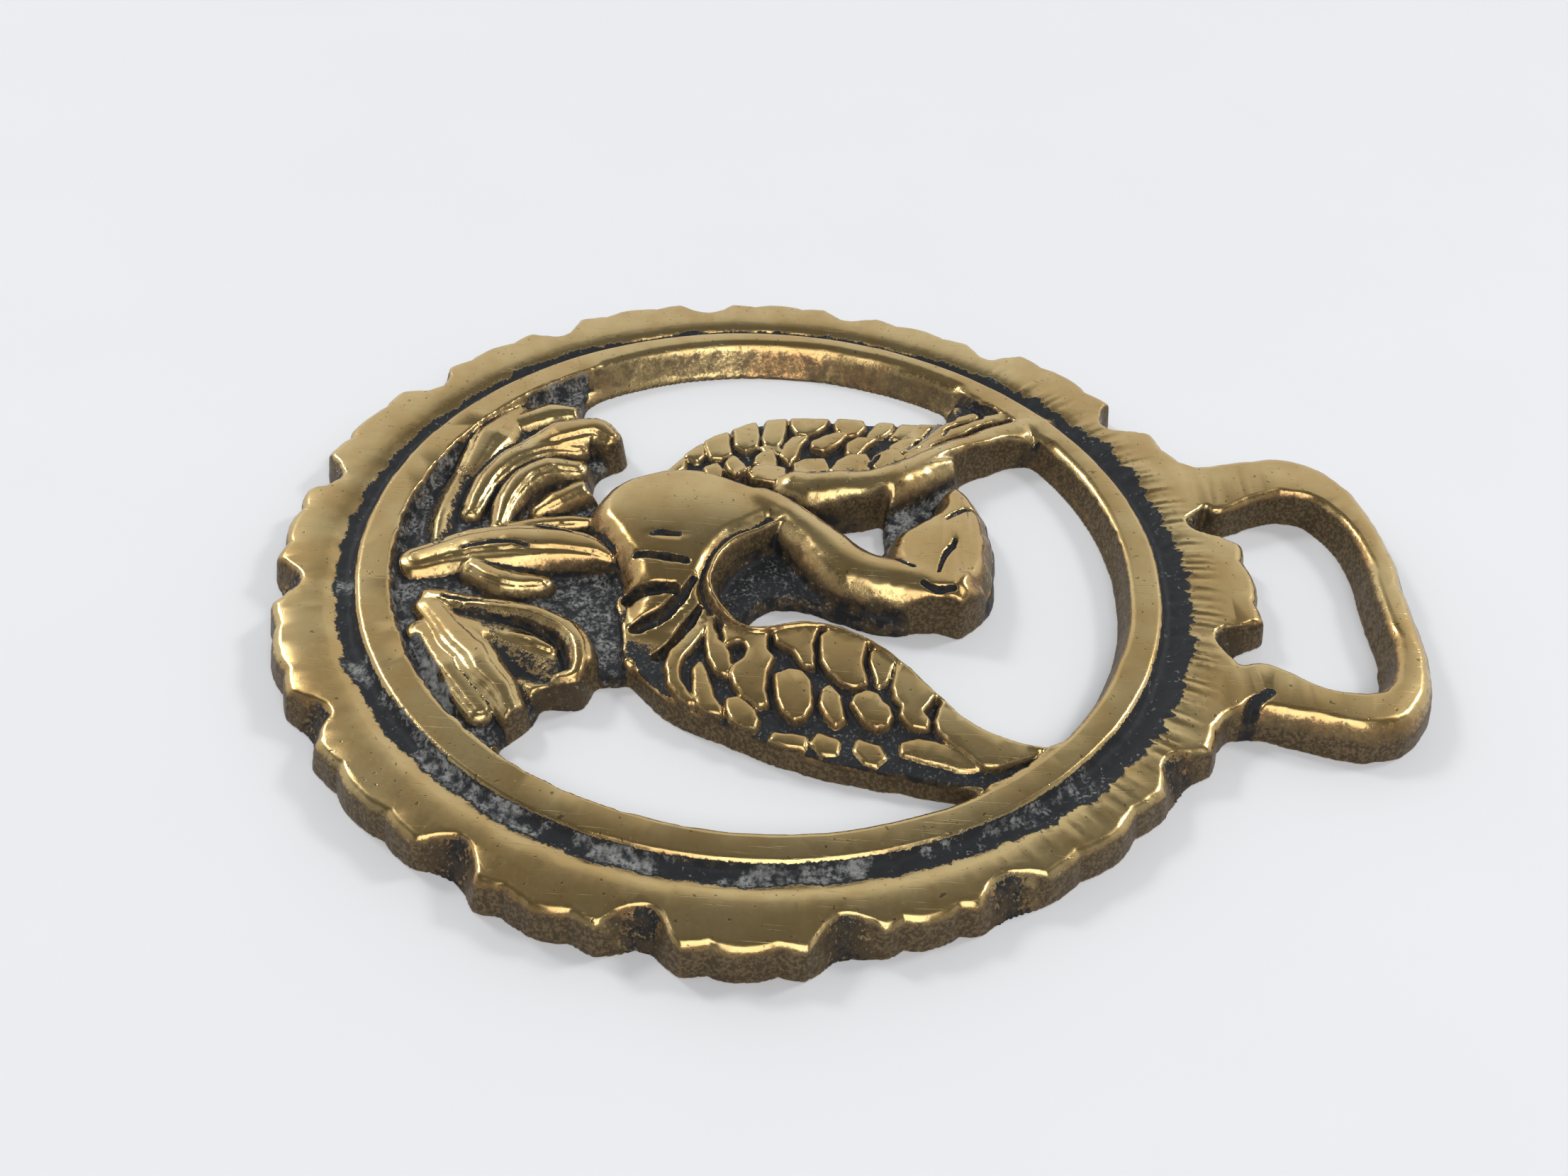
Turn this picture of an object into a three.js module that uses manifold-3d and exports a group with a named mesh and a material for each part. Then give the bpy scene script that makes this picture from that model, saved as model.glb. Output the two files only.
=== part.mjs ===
// A cast horse brass: a scalloped ring with a strap hanger, filled by an openwork phoenix rising
// from flames. One casting, flat behind, lying on its back: +Z is the carved face, +Y the hanger.
import * as THREE from 'three';
import { mergeVertices } from 'three/addons/utils/BufferGeometryUtils.js';
import Module from 'manifold-3d';

const wasm = await Module();
wasm.setup();

// ---- Driving dimensions, millimetres. Plan positions are measured from the ring's centre. ----

const RING = {
  bore: 29.7, // inner wall at the back
  bevelFoot: [29.9, 2.2], // [radius, height] where the inner bevel starts
  boreShift: [0.5, 0.8], // the bore was fettled a little off centre
  band: [31.1, 33.6, 3.0], // inner radius, outer radius, height of the polished flat band
  groove: [34.6, 2.2], // lowest line of the dark groove outside the band
  crest: [36.8, 2.9], // crown of the rim beyond the groove
  shoulder: [39.6, 2.4], // top edge of the lobes
  foot: 40.4, // widest radius, at the back
};
const LOBES = { bumps: 3, cusp: 0.4, notch: 1.9, draft: 0.85, segmentsEach: 12 };
// The hand-filed lobes: [angle of the notch before the lobe in degrees, reach of its foot].
const RIM = [
  [12, 40.1], [29.5, 40.0], [56, 40.8], [79, 42.5], [101, 42.0], [124.5, 41.8],
  [147.5, 40.0], [170.5, 40.4], [192.5, 40.8], [216, 40.7], [238, 41.2], [262, 40.8],
  [283, 40.8], [306, 40.7], [331.5, 41.0], [352.5, 41.3],
];

const HANGER = {
  height: 3.3,
  depthOfRound: 1.2, // how far the rounded edge reaches out past the flat top
  lean: -0.4, // the loop is set a little to the left of the ring's axis
  slotShift: 0.5, // and its slot a little to the right
  wallShare: 0.45, // part of the height that is upright wall, below the rounded edge
  top: 55.4, // outer edge of the top bar at the back
  barInside: 51.5, // flat inner face of the top bar, where the strap bears
};
const PLATE = 1.5; // thickness of the openwork behind the raised figure
// Heights above the back of what stands up from the plate.
const RELIEF = {
  body: 5.0, neck: 4.6, head: 4.4, collar: 4.3, thigh: 3.6, arm: 4.2, feather: 2.8, web: 1.1,
  leadingEdge: 2.9, trailingEdge: 2.0,
};

// ---- Small tools ----

const flatPoints = (pairs) => pairs.map(([x, y]) => new THREE.Vector2(x, y));

function curveThrough(pairs, closed = false) {
  return new THREE.CatmullRomCurve3(pairs.map(([x, y]) => new THREE.Vector3(x, y, 0)), closed);
}

function smoothOutline(pairs) {
  const points = curveThrough(pairs, true).getPoints(pairs.length * 2).slice(0, -1);
  return new THREE.Shape(points.map((p) => new THREE.Vector2(p.x, p.y)));
}

function solid(geometry) {
  const bare = geometry.clone();
  bare.deleteAttribute('normal');
  bare.deleteAttribute('uv');
  const merged = mergeVertices(bare, 1e-4);
  const { position } = merged.attributes;
  const mesh = new wasm.Mesh({
    numProp: 3,
    vertProperties: new Float32Array(position.array),
    triVerts: new Uint32Array(merged.index.array),
  });
  return new wasm.Manifold(mesh);
}

function plate(outline, height = PLATE) {
  return solid(new THREE.ExtrudeGeometry(smoothOutline(outline), { depth: height, bevelEnabled: false }));
}

// A rounded ridge on the plate: a sphere whose poles are drawn out to the two ends of a path.
// halfWidths and top are spread along the path; blunt ends come from a larger `blunt`.
function ridge(path, halfWidths, top, { blunt = 1.6, sides = 8, steps = 8, root = PLATE * 0.6 } = {}) {
  const spine = curveThrough(path);
  const across = Array.isArray(halfWidths) ? halfWidths : [halfWidths];
  const heights = Array.isArray(top) ? top : [top];
  const geometry = new THREE.SphereGeometry(1, sides, steps);
  const { position } = geometry.attributes;
  for (let i = 0; i < position.count; i += 1) {
    const pole = THREE.MathUtils.clamp(position.getY(i), -1, 1);
    const along = (1 - pole) / 2;
    const round = Math.sqrt(Math.max(0, 1 - pole * pole));
    const fullness = Math.min(1, blunt * round);
    const side = round > 1e-6 ? position.getX(i) / round : 0;
    const lift = round > 1e-6 ? position.getZ(i) / round : 0;
    const centre = spine.getPointAt(along);
    const heading = spine.getTangentAt(along);
    const reach = side * fullness * spread(across, along);
    const rise = lift * fullness * (lift > 0 ? spread(heights, along) - root : root * 0.6);
    position.setXYZ(i, centre.x - heading.y * reach, centre.y + heading.x * reach, root + rise);
  }
  return solid(geometry);
}

// Value at `along` (0 to 1) of numbers spread evenly between 0 and 1.
function spread(values, along) {
  const place = along * (values.length - 1);
  const before = Math.min(Math.floor(place), Math.max(values.length - 2, 0));
  const after = Math.min(before + 1, values.length - 1);
  return THREE.MathUtils.lerp(values[before], values[after], place - before);
}

// ---- The ring ----

// Angle of the rim, in radians, a number of lobes round from the first notch.
function rimAngle(lobes) {
  const [index, along] = [Math.floor(lobes) % RIM.length, lobes % 1];
  const start = RIM[index][0];
  const end = RIM[(index + 1) % RIM.length][0];
  return THREE.MathUtils.degToRad(start + along * ((end - start + 360) % 360));
}

// How far the rim stands in from the round foot: deep notches between lobes, small cusps on them.
function rimStep(lobes) {
  const along = lobes % 1;
  const cusps = 1 - Math.abs(Math.cos(Math.PI * LOBES.bumps * (along - 0.5)));
  const notch = Math.abs(2 * along - 1) ** 7;
  const before = RIM[Math.floor(lobes) % RIM.length][1];
  const reach = notch > 0.99 ? RING.foot : before;
  return RING.foot - reach + LOBES.cusp * cusps * (1 - notch) + LOBES.notch * notch;
}

function ring() {
  const { bore, bevelFoot, boreShift, band, groove, crest, shoulder, foot } = RING;
  const profile = flatPoints([
    [bore, 0],
    [foot, 0],
    shoulder,
    crest,
    groove,
    [band[1], band[2]],
    [band[0], band[2]],
    bevelFoot,
    [bore, 0],
  ]);
  const segments = RIM.length * LOBES.segmentsEach;
  const geometry = new THREE.LatheGeometry(profile, segments);
  geometry.rotateX(Math.PI / 2);
  const { position } = geometry.attributes;
  for (let i = 0; i < position.count; i += 1) {
    const [x, y, z] = [position.getX(i), position.getY(i), position.getZ(i)];
    const turn = (Math.atan2(y, x) / (2 * Math.PI) + 1) % 1;
    const lobes = (Math.round(turn * segments) % segments) / LOBES.segmentsEach;
    const angle = rimAngle(lobes);
    const radius = Math.hypot(x, y);
    const share = THREE.MathUtils.clamp((radius - crest[0]) / (shoulder[0] - crest[0]), 0, 1);
    const reach = radius - share * (z < crest[1] / 2 ? LOBES.draft : 1) * rimStep(lobes);
    const shift = radius < band[0] - 0.1 ? boreShift : [0, 0];
    position.setXYZ(i, Math.cos(angle) * reach + shift[0], Math.sin(angle) * reach + shift[1], z);
  }
  return solid(geometry);
}

// ---- The hanger ----

// Outline from its right half, from the ring up to the axis, set over sideways.
function mirroredOutline(half, shift) {
  const whole = [...half, ...half.map(([x, y]) => [-x, y]).reverse().filter(([x]) => x !== 0)];
  return flatPoints(whole.map(([x, y]) => [x + shift, y]));
}

function hanger() {
  const inset = HANGER.depthOfRound;
  const crown = HANGER.top - inset;
  const outer = [
    [17.2, 33.5], [15.8, 37.4], [15.4, 39.6], [16.1, 42.4], [16.9, 45.2], [17.1, 47.8],
    [16.0, 50.3], [13.4, 52.3], [9.8, 53.6], [5.0, crown - 0.1], [0, crown],
  ];
  const slot = [
    [6.4, 37.6], [8.6, 35.9], [10.2, 37.4], [10.3, 41.2], [12.1, 43.8], [13.1, 46.6],
    [12.5, 49.8], [9.6, 51.8], [5.0, HANGER.barInside + inset],
  ];
  const shape = new THREE.Shape(mirroredOutline(outer, HANGER.lean));
  shape.holes.push(new THREE.Path(mirroredOutline(slot, HANGER.slotShift)));
  const geometry = new THREE.ExtrudeGeometry(shape, {
    depth: HANGER.height * HANGER.wallShare,
    bevelThickness: HANGER.height * (1 - HANGER.wallShare),
    bevelSize: inset,
    bevelSegments: 3,
  });
  return solid(geometry);
}

// ---- The phoenix ----

const LEFT_WING = {
  outline: [
    [-24.5, 17.2], [-21.8, 16.6], [-21.3, 11], [-20.9, 6], [-20.5, 1.3], [-19.0, -2.9], [-16.0, -6.4],
    [-11.6, -9.1], [-7.5, -9.8], [-5, -3], [-5.1, 3.5], [-5.6, 7.3], [-7.6, 11.0], [-12.8, 16.2],
    [-17.3, 22.5], [-19.5, 24.5],
  ],
  arm: [[-20.5, 24], [-17.0, 18.9], [-13.4, 14.4], [-10.2, 10.4], [-8.6, 6.4], [-8.5, 2.0]],
  root: [[-19.6, 19.5], [-15.6, 14.2], [-12.4, 9.6], [-11.2, 4.5], [-10.4, 0], [-8.6, -6.5]],
  edge: [[-21.8, 14.8], [-21.0, 9], [-20.4, 3.8], [-19.0, -1.6], [-15.8, -5.8], [-10.8, -9.0]],
};
const RIGHT_WING = {
  outline: [
    [20.9, 22.8], [19.2, 18.5], [16.4, 15.3], [13.2, 12.2], [10.6, 9.1], [9.1, 5.4], [9.0, 2.2],
    [8.0, -1.5], [5.5, -6], [6.4, -11.4], [14.1, -10.3], [18.6, -6.4], [21.3, -1.0], [23.2, 4.6],
    [24.2, 9.8], [24.9, 15.6], [24.8, 18.6],
  ],
  leading: [[20.7, 21.4], [16.9, 15.7], [12.7, 11.2], [10.1, 7.0], [9.7, 3.2], [10.4, -0.2]],
  trailing: [[23.9, 15], [23.3, 9.6], [22.3, 4.4], [20.4, -1.0], [17.8, -6.0], [13.6, -9.8]],
};
const FEATHERS = { rows: 7, columns: 3, halfWidth: 1.25, overlap: 1.15 };

// Rows of overlapping feathers laid from a root curve out to an edge curve.
function feathers(root, edge, sweep) {
  const roots = curveThrough(root);
  const edges = curveThrough(edge);
  const pads = [];
  for (let row = 0; row < FEATHERS.rows; row += 1) {
    const from = roots.getPoint((row + 0.5) / FEATHERS.rows);
    const to = edges.getPoint(Math.min(1, (row + 0.5 + sweep) / FEATHERS.rows));
    for (let column = 0; column < FEATHERS.columns; column += 1) {
      const start = from.clone().lerp(to, column / FEATHERS.columns);
      const end = from.clone().lerp(to, Math.min(1, (column + FEATHERS.overlap) / FEATHERS.columns));
      const path = [start, end].map((p) => [p.x, p.y]);
      pads.push(ridge(path, FEATHERS.halfWidth, RELIEF.feather, { blunt: 1.3, sides: 8, steps: 6 }));
    }
  }
  return pads;
}

function leftWing() {
  return [
    plate(LEFT_WING.outline),
    ridge(LEFT_WING.arm, [1.4, 1.9, 2.1, 2.3, 2.4, 2.0], RELIEF.arm),
    ...feathers(LEFT_WING.root, LEFT_WING.edge, 0.6),
  ];
}

function rightWing() {
  return [
    plate(RIGHT_WING.outline),
    ridge(RIGHT_WING.leading, 0.7, RELIEF.leadingEdge),
    ridge(RIGHT_WING.trailing, 0.5, RELIEF.trailingEdge),
    ...feathers(RIGHT_WING.leading, RIGHT_WING.trailing, 0.25),
  ];
}

function body() {
  const outline = [
    [-10.4, 16.8], [-8.6, 18.9], [-5, 20.0], [0, 20.2], [4.2, 19.0], [6.6, 17.0], [6.4, 14.4],
    [7.5, 11.0], [6.3, 7.2], [5.1, 4.2], [5.4, 1.2], [9.5, -2.6], [8.6, -9.5], [2.6, -13.4],
    [-3.4, -15.8], [-7.7, -12.8], [-9.2, -7.6], [-8.2, -2.2], [-5.8, 2.4], [-3.0, 5.8], [-1.1, 9.2],
    [-2.8, 11.4], [-5.3, 14.0], [-8.8, 15.2],
  ];
  const neck = [[5.4, 17], [3.9, 12], [3.3, 8], [0.8, 4.6], [-2.9, 1.6], [-4.2, -2]];
  const breast = [[-4.8, 1], [-3.4, -4], [-2.2, -9], [-4.2, -15.2]];
  const collar = [[-3.0, -1.0], [1.6, -3.8], [6, -5.2], [10.4, -2.0]];
  return [
    plate(outline),
    ridge(neck, [2.6, 3.2, 3.1, 3.1, 3.0, 3.2], RELIEF.neck),
    ridge(breast, [3.2, 5.6, 6.8, 4.0], RELIEF.body, { sides: 10 }),
    ridge(collar, [2.0, 2.4, 2.4, 1.2], RELIEF.collar),
    ridge([[2, -5.5], [4.4, -8.2], [5.6, -11.6]], 1.5, RELIEF.thigh),
    ridge([[6, -5.5], [8.6, -8.2], [9.6, -10.8]], 1.3, RELIEF.thigh - 0.4),
  ];
}

function head() {
  const skullAndBeak = [[-10.0, 16.5], [-5.6, 17.4], [0, 16.2], [4.6, 15.8]];
  const jaw = [[-6.4, 15.6], [-2.6, 13.2], [0.8, 11.6]];
  const eye = [[1.4, 16.9], [3.6, 16.9]];
  return [
    ridge(skullAndBeak, [1.3, 2.2, 3.4, 3.2], RELIEF.head),
    ridge(jaw, [1.2, 1.9, 1.6], RELIEF.head - 0.6),
    ridge(eye, 1.1, RELIEF.head + 0.6, { sides: 6, steps: 5 }),
  ];
}

// Thin plates that tie the beak to the wing, and the body to the flames.
function webs() {
  return [
    plate([[-14, 16.6], [-9.2, 16.6], [-3.8, 13.6], [-2.0, 11.0], [-6.4, 10.5], [-10, 10.2]], RELIEF.web),
    plate([[1, -10.5], [13.6, -9.0], [15.6, -11.4], [14, -19], [4, -24], [-5, -20], [-5.4, -14.2]], PLATE),
  ];
}

// ---- The flames ----

function flames() {
  const bed = [
    [-26, -19.6], [-19.6, -18.8], [-17.2, -18.4], [-16.4, -15.6], [-13.8, -14.1], [-10.0, -16.2], [-5, -16.0],
    [4, -18], [10.4, -14.6], [14.2, -12.1], [18.0, -12.7], [18.3, -15.4], [20.8, -17.0], [26.4, -21.4],
    [21.6, -24], [10, -31], [-10, -31], [-21.6, -24],
  ];
  const tongues = [
    // centre
    [[[4.9, -27.5], [2.6, -24], [0.9, -20.3], [0.6, -16.8], [2.8, -13]], [1.3, 1.7, 1.8, 1.6, 0.7], 3.6],
    [[[5.2, -25.5], [5.6, -21.5], [5.2, -17.6]], [0.9, 1.6, 1.3], 3.5],
    [[[1.6, -25.5], [-0.9, -20.5], [-2.4, -14.8]], [0.7, 0.8, 0.5], 2.6],
    // right
    [[[7.6, -26.5], [9.2, -21.5], [10.3, -16.2], [13.4, -13.4], [17.2, -13.8]], [1.1, 1.2, 1.1, 0.8], 3.3],
    [[[10.6, -24.5], [12.6, -19.3], [13.2, -15.6]], 0.8, 2.7],
    [[[9.0, -26.3], [14.2, -21.6], [20.8, -16.8]], [1.0, 1.3, 0.8], 3.2],
    [[[12.4, -25.6], [16.6, -21.4], [20.6, -18.4]], [0.8, 1.0, 0.6], 2.8],
    // left
    [[[-13.6, -25], [-14.0, -20], [-14.0, -16.4], [-12.2, -14.4]], [1.0, 1.5, 2.0, 1.2], 4.1],
    [[[-18.0, -24], [-18.4, -18.8]], 0.8, 2.6],
    [[[-11.4, -17.6], [-10.8, -21.3], [-6.6, -24.6], [-1.6, -25.6]], [0.8, 1.2, 1.2, 0.7], 3.3],
    [[[-8.6, -17.4], [-7.6, -20.6], [-4.4, -22.4], [-0.6, -22.9]], [0.8, 1.1, 1.1, 0.6], 3.7],
    [[[-5.4, -17.2], [-3.9, -18.4]], 0.9, 3.2],
    [[[-17.6, -24.4], [-12.6, -26.0], [-8.0, -26.6]], [1.2, 1.7, 1.0], 2.6],
  ];
  return [plate(bed), ...tongues.map(([path, halfWidths, top]) => ridge(path, halfWidths, top))];
}

// ---- The casting ----

function casting() {
  const phoenix = [...leftWing(), ...rightWing(), ...body(), ...head(), ...webs(), ...flames()];
  const joined = [ring(), hanger(), ...phoenix].reduce((whole, piece) => whole.add(piece));
  const above = new THREE.BoxGeometry(200, 200, 20).translate(0, 0, 10);
  const { vertProperties, triVerts } = joined.intersect(solid(above)).getMesh();
  const geometry = new THREE.BufferGeometry();
  geometry.setAttribute('position', new THREE.BufferAttribute(vertProperties, 3));
  geometry.setIndex(new THREE.BufferAttribute(triVerts, 1));
  geometry.computeBoundingBox();
  const middle = geometry.boundingBox.getCenter(new THREE.Vector3());
  geometry.translate(-middle.x, -middle.y, 0);
  return geometry;
}

const brass = new THREE.MeshStandardMaterial({ color: 0xb08d4c, roughness: 0.35, metalness: 1 });
const horseBrass = new THREE.Mesh(casting(), brass);
horseBrass.name = 'horse_brass';

const part = new THREE.Group();
part.add(horseBrass);

export default part;
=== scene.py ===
"""Dresses the horse brass: a cast phoenix in a scalloped ring, with a strap hanger.

The shape is worked as a relief map of heights and outlines, from which one closed skin is drawn.
Sizes are millimetres from the ring's centre, +Y towards the hanger, until the skin is placed.
"""

import logging
import math
from dataclasses import dataclass, replace
from enum import Enum

import bpy
import numpy as np
from mathutils import Matrix, Vector


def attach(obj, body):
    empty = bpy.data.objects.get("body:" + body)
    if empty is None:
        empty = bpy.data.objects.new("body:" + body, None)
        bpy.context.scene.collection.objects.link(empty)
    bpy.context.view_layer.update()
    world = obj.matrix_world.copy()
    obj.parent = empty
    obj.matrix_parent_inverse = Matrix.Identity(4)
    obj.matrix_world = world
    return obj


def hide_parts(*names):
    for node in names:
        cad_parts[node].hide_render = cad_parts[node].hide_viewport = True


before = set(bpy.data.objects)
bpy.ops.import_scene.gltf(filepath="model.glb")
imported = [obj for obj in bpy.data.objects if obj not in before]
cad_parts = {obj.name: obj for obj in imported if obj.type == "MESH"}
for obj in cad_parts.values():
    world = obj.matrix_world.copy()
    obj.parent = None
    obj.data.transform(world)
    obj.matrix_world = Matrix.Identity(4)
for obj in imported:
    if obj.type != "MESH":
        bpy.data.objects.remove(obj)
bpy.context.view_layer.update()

LOG = logging.getLogger("horse_brass")
Points = tuple[tuple[float, float], ...]
Triple = tuple[float, float, float]
Window = tuple[slice, slice]
Socket = bpy.types.NodeSocket

MM = 0.001
PLAN_STEP = 0.1  # spacing of the relief map
CELL = 0.2  # spacing of the grid that the skin is drawn from
PLAN_LOW = (-43.2, -43.2)  # corners of the relief map
PLAN_HIGH = (43.2, 57.6)
DEPTH = (-0.4, 5.8)  # heights that the skin's grid spans
RING_CENTRE = (-0.3735, -7.3495)  # in the row frame, in millimetres
WEB = 1.2  # height that relief rises from
LOWEST_CUT = 0.7  # height that no groove goes below
CURL = 2.2  # how late a worn edge turns over
EDGE_WIDTH = 0.4  # of the worn upper edge of pierced work
EDGE_DROP = 0.25
UPPER_CORNER = 0.22  # rounding between top and wall
LOWER_CORNER = 0.12  # rounding between wall and back
STRAIGHT_GROWTH = 0.4  # how far a straight-sided patch reaches past its points
PATCH_FALL = 3.0  # slope outside a patch, which keeps it inside its outline
RIDGE_FALL = 2.0


class Section(Enum):
    """How the height of a stroke falls away from its spine."""

    ROUND = "round"
    SOFT = "bell"
    FLAT = "flat"
    LEAF = "leaf"


@dataclass(frozen=True)
class Stroke:
    """A ridge or groove that follows a path.

    Args:
        path: Points of the spine.
        width: Half widths, spread evenly along the path.
        height: Heights above the back, or rise and fall from the surface, spread the same way.
        section: How the height falls away from the spine.
        lean: More than 0 widens the left of the path and narrows its right.
        chalk: How much pale polish residue lies in it, 0 to 1.
        tarnish: How much dark patina it keeps, 0 to 1.
    """

    path: Points
    width: tuple[float, ...]
    height: tuple[float, ...]
    section: Section = Section.ROUND
    lean: float = 0.0
    chalk: float = 0.0
    tarnish: float = 0.0


@dataclass(frozen=True)
class Patch:
    """An area of the relief with a closed outline.

    Args:
        outline: Points that the closed outline passes through.
        height: Height of the area above the back.
        edge: Width of the rounded edge inside the outline.
        crown: How much the top falls for each square millimetre from `centre`, along X and Y.
        centre: Highest place of a crowned or tilted top.
        tilt: Rise of the top for each millimetre from `centre`, along X and Y.
        floor: Height that the rounded edge rises from.
        chalk: How much pale residue lies on it, 0 to 1.
        tarnish: How much dark patina it keeps, 0 to 1.
        smooth: Whether the outline is curved, or straight between its points with worn corners.
    """

    outline: Points
    height: float
    edge: float = 0.5
    crown: tuple[float, float] = (0.0, 0.0)
    centre: tuple[float, float] = (0.0, 0.0)
    tilt: tuple[float, float] = (0.0, 0.0)
    floor: float = WEB
    chalk: float = 0.0
    tarnish: float = 0.0
    smooth: bool = True


def spline(points: Points, per_span: int = 6, closed: bool = False) -> np.ndarray:
    """Returns points on a smooth curve through the given ones.

    Args:
        points: The points to pass through.
        per_span: How many points to give for each span.
        closed: Whether the curve runs back to its start.

    Returns:
        An array of shape (n, 2).
    """
    p = np.array(points, float)
    if closed:
        a, b, c, d = np.roll(p, 1, 0), p, np.roll(p, -1, 0), np.roll(p, -2, 0)
    else:
        long = np.vstack([2 * p[0] - p[1], p, 2 * p[-1] - p[-2]])
        a, b, c, d = long[:-3], long[1:-2], long[2:-1], long[3:]
    t = np.linspace(0, 1, per_span, endpoint=False)[None, :, None]
    a, b, c, d = (v[:, None, :] for v in (a, b, c, d))
    cubic = 2 * b + (c - a) * t + (2 * a - 5 * b + 4 * c - d) * t**2 + (3 * b - a - 3 * c + d) * t**3
    curve = (0.5 * cubic).reshape(-1, 2)
    return curve if closed else np.vstack([curve, p[-1]])


def smooth_max(a: np.ndarray, b: np.ndarray, blend: float) -> np.ndarray:
    """Returns the larger of two fields, rounded over a height of `blend` where they cross."""
    share = np.clip(0.5 + 0.5 * (a - b) / blend, 0, 1)
    return b * (1 - share) + a * share + blend * share * (1 - share)


def smooth_step(low: float, high: float, x: np.ndarray) -> np.ndarray:
    """Returns 0 below `low`, 1 above `high` and an S-shaped ramp between them."""
    t = np.clip((x - low) / (high - low), 0, 1)
    return t * t * (3 - 2 * t)


def blur(values: np.ndarray, radius: float) -> np.ndarray:
    """Returns a map smoothed by a bell of `radius` millimetres."""
    cells = radius / PLAN_STEP
    reach = max(1, int(round(3 * cells)))
    kernel = np.exp(-0.5 * (np.arange(-reach, reach + 1) / cells) ** 2)
    kernel /= kernel.sum()
    for _ in range(2):
        padded = np.pad(values, ((reach, reach), (0, 0)), mode="edge")
        rows = len(values)
        values = sum(w * padded[k : k + rows] for k, w in enumerate(kernel)).T
    return values


class Grain:
    """Smooth random relief that is the same on every run."""

    def __init__(self, seed: int, size: int = 128) -> None:
        """Draws the lattice of random values."""
        self.lattice = np.random.default_rng(seed).uniform(-1, 1, (size, size))
        self.size = size

    def at(self, x: np.ndarray, y: np.ndarray, scale: float, octaves: int = 3) -> np.ndarray:
        """Returns noise of about -1 to 1 at plan positions.

        Args:
            x: Plan positions in millimetres.
            y: Plan positions in millimetres.
            scale: Size of the largest lumps in millimetres.
            octaves: Number of layers, each half as large as the last.

        Returns:
            The noise, in the shape of x.
        """
        total, weight = 0.0, 1.0
        for octave in range(octaves):
            u, v = x / scale + 17.3 * octave, y / scale + 5.1 * octave
            i, j = np.floor(u).astype(int), np.floor(v).astype(int)
            fu, fv = u - i, v - j
            fu, fv = fu * fu * (3 - 2 * fu), fv * fv * (3 - 2 * fv)
            i0, i1, j0, j1 = i % self.size, (i + 1) % self.size, j % self.size, (j + 1) % self.size
            low = self.lattice[i0, j0] * (1 - fu) + self.lattice[i1, j0] * fu
            high = self.lattice[i0, j1] * (1 - fu) + self.lattice[i1, j1] * fu
            total = total + weight * (low * (1 - fv) + high * fv)
            weight, scale = weight * 0.5, scale * 0.5
        return total


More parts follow.
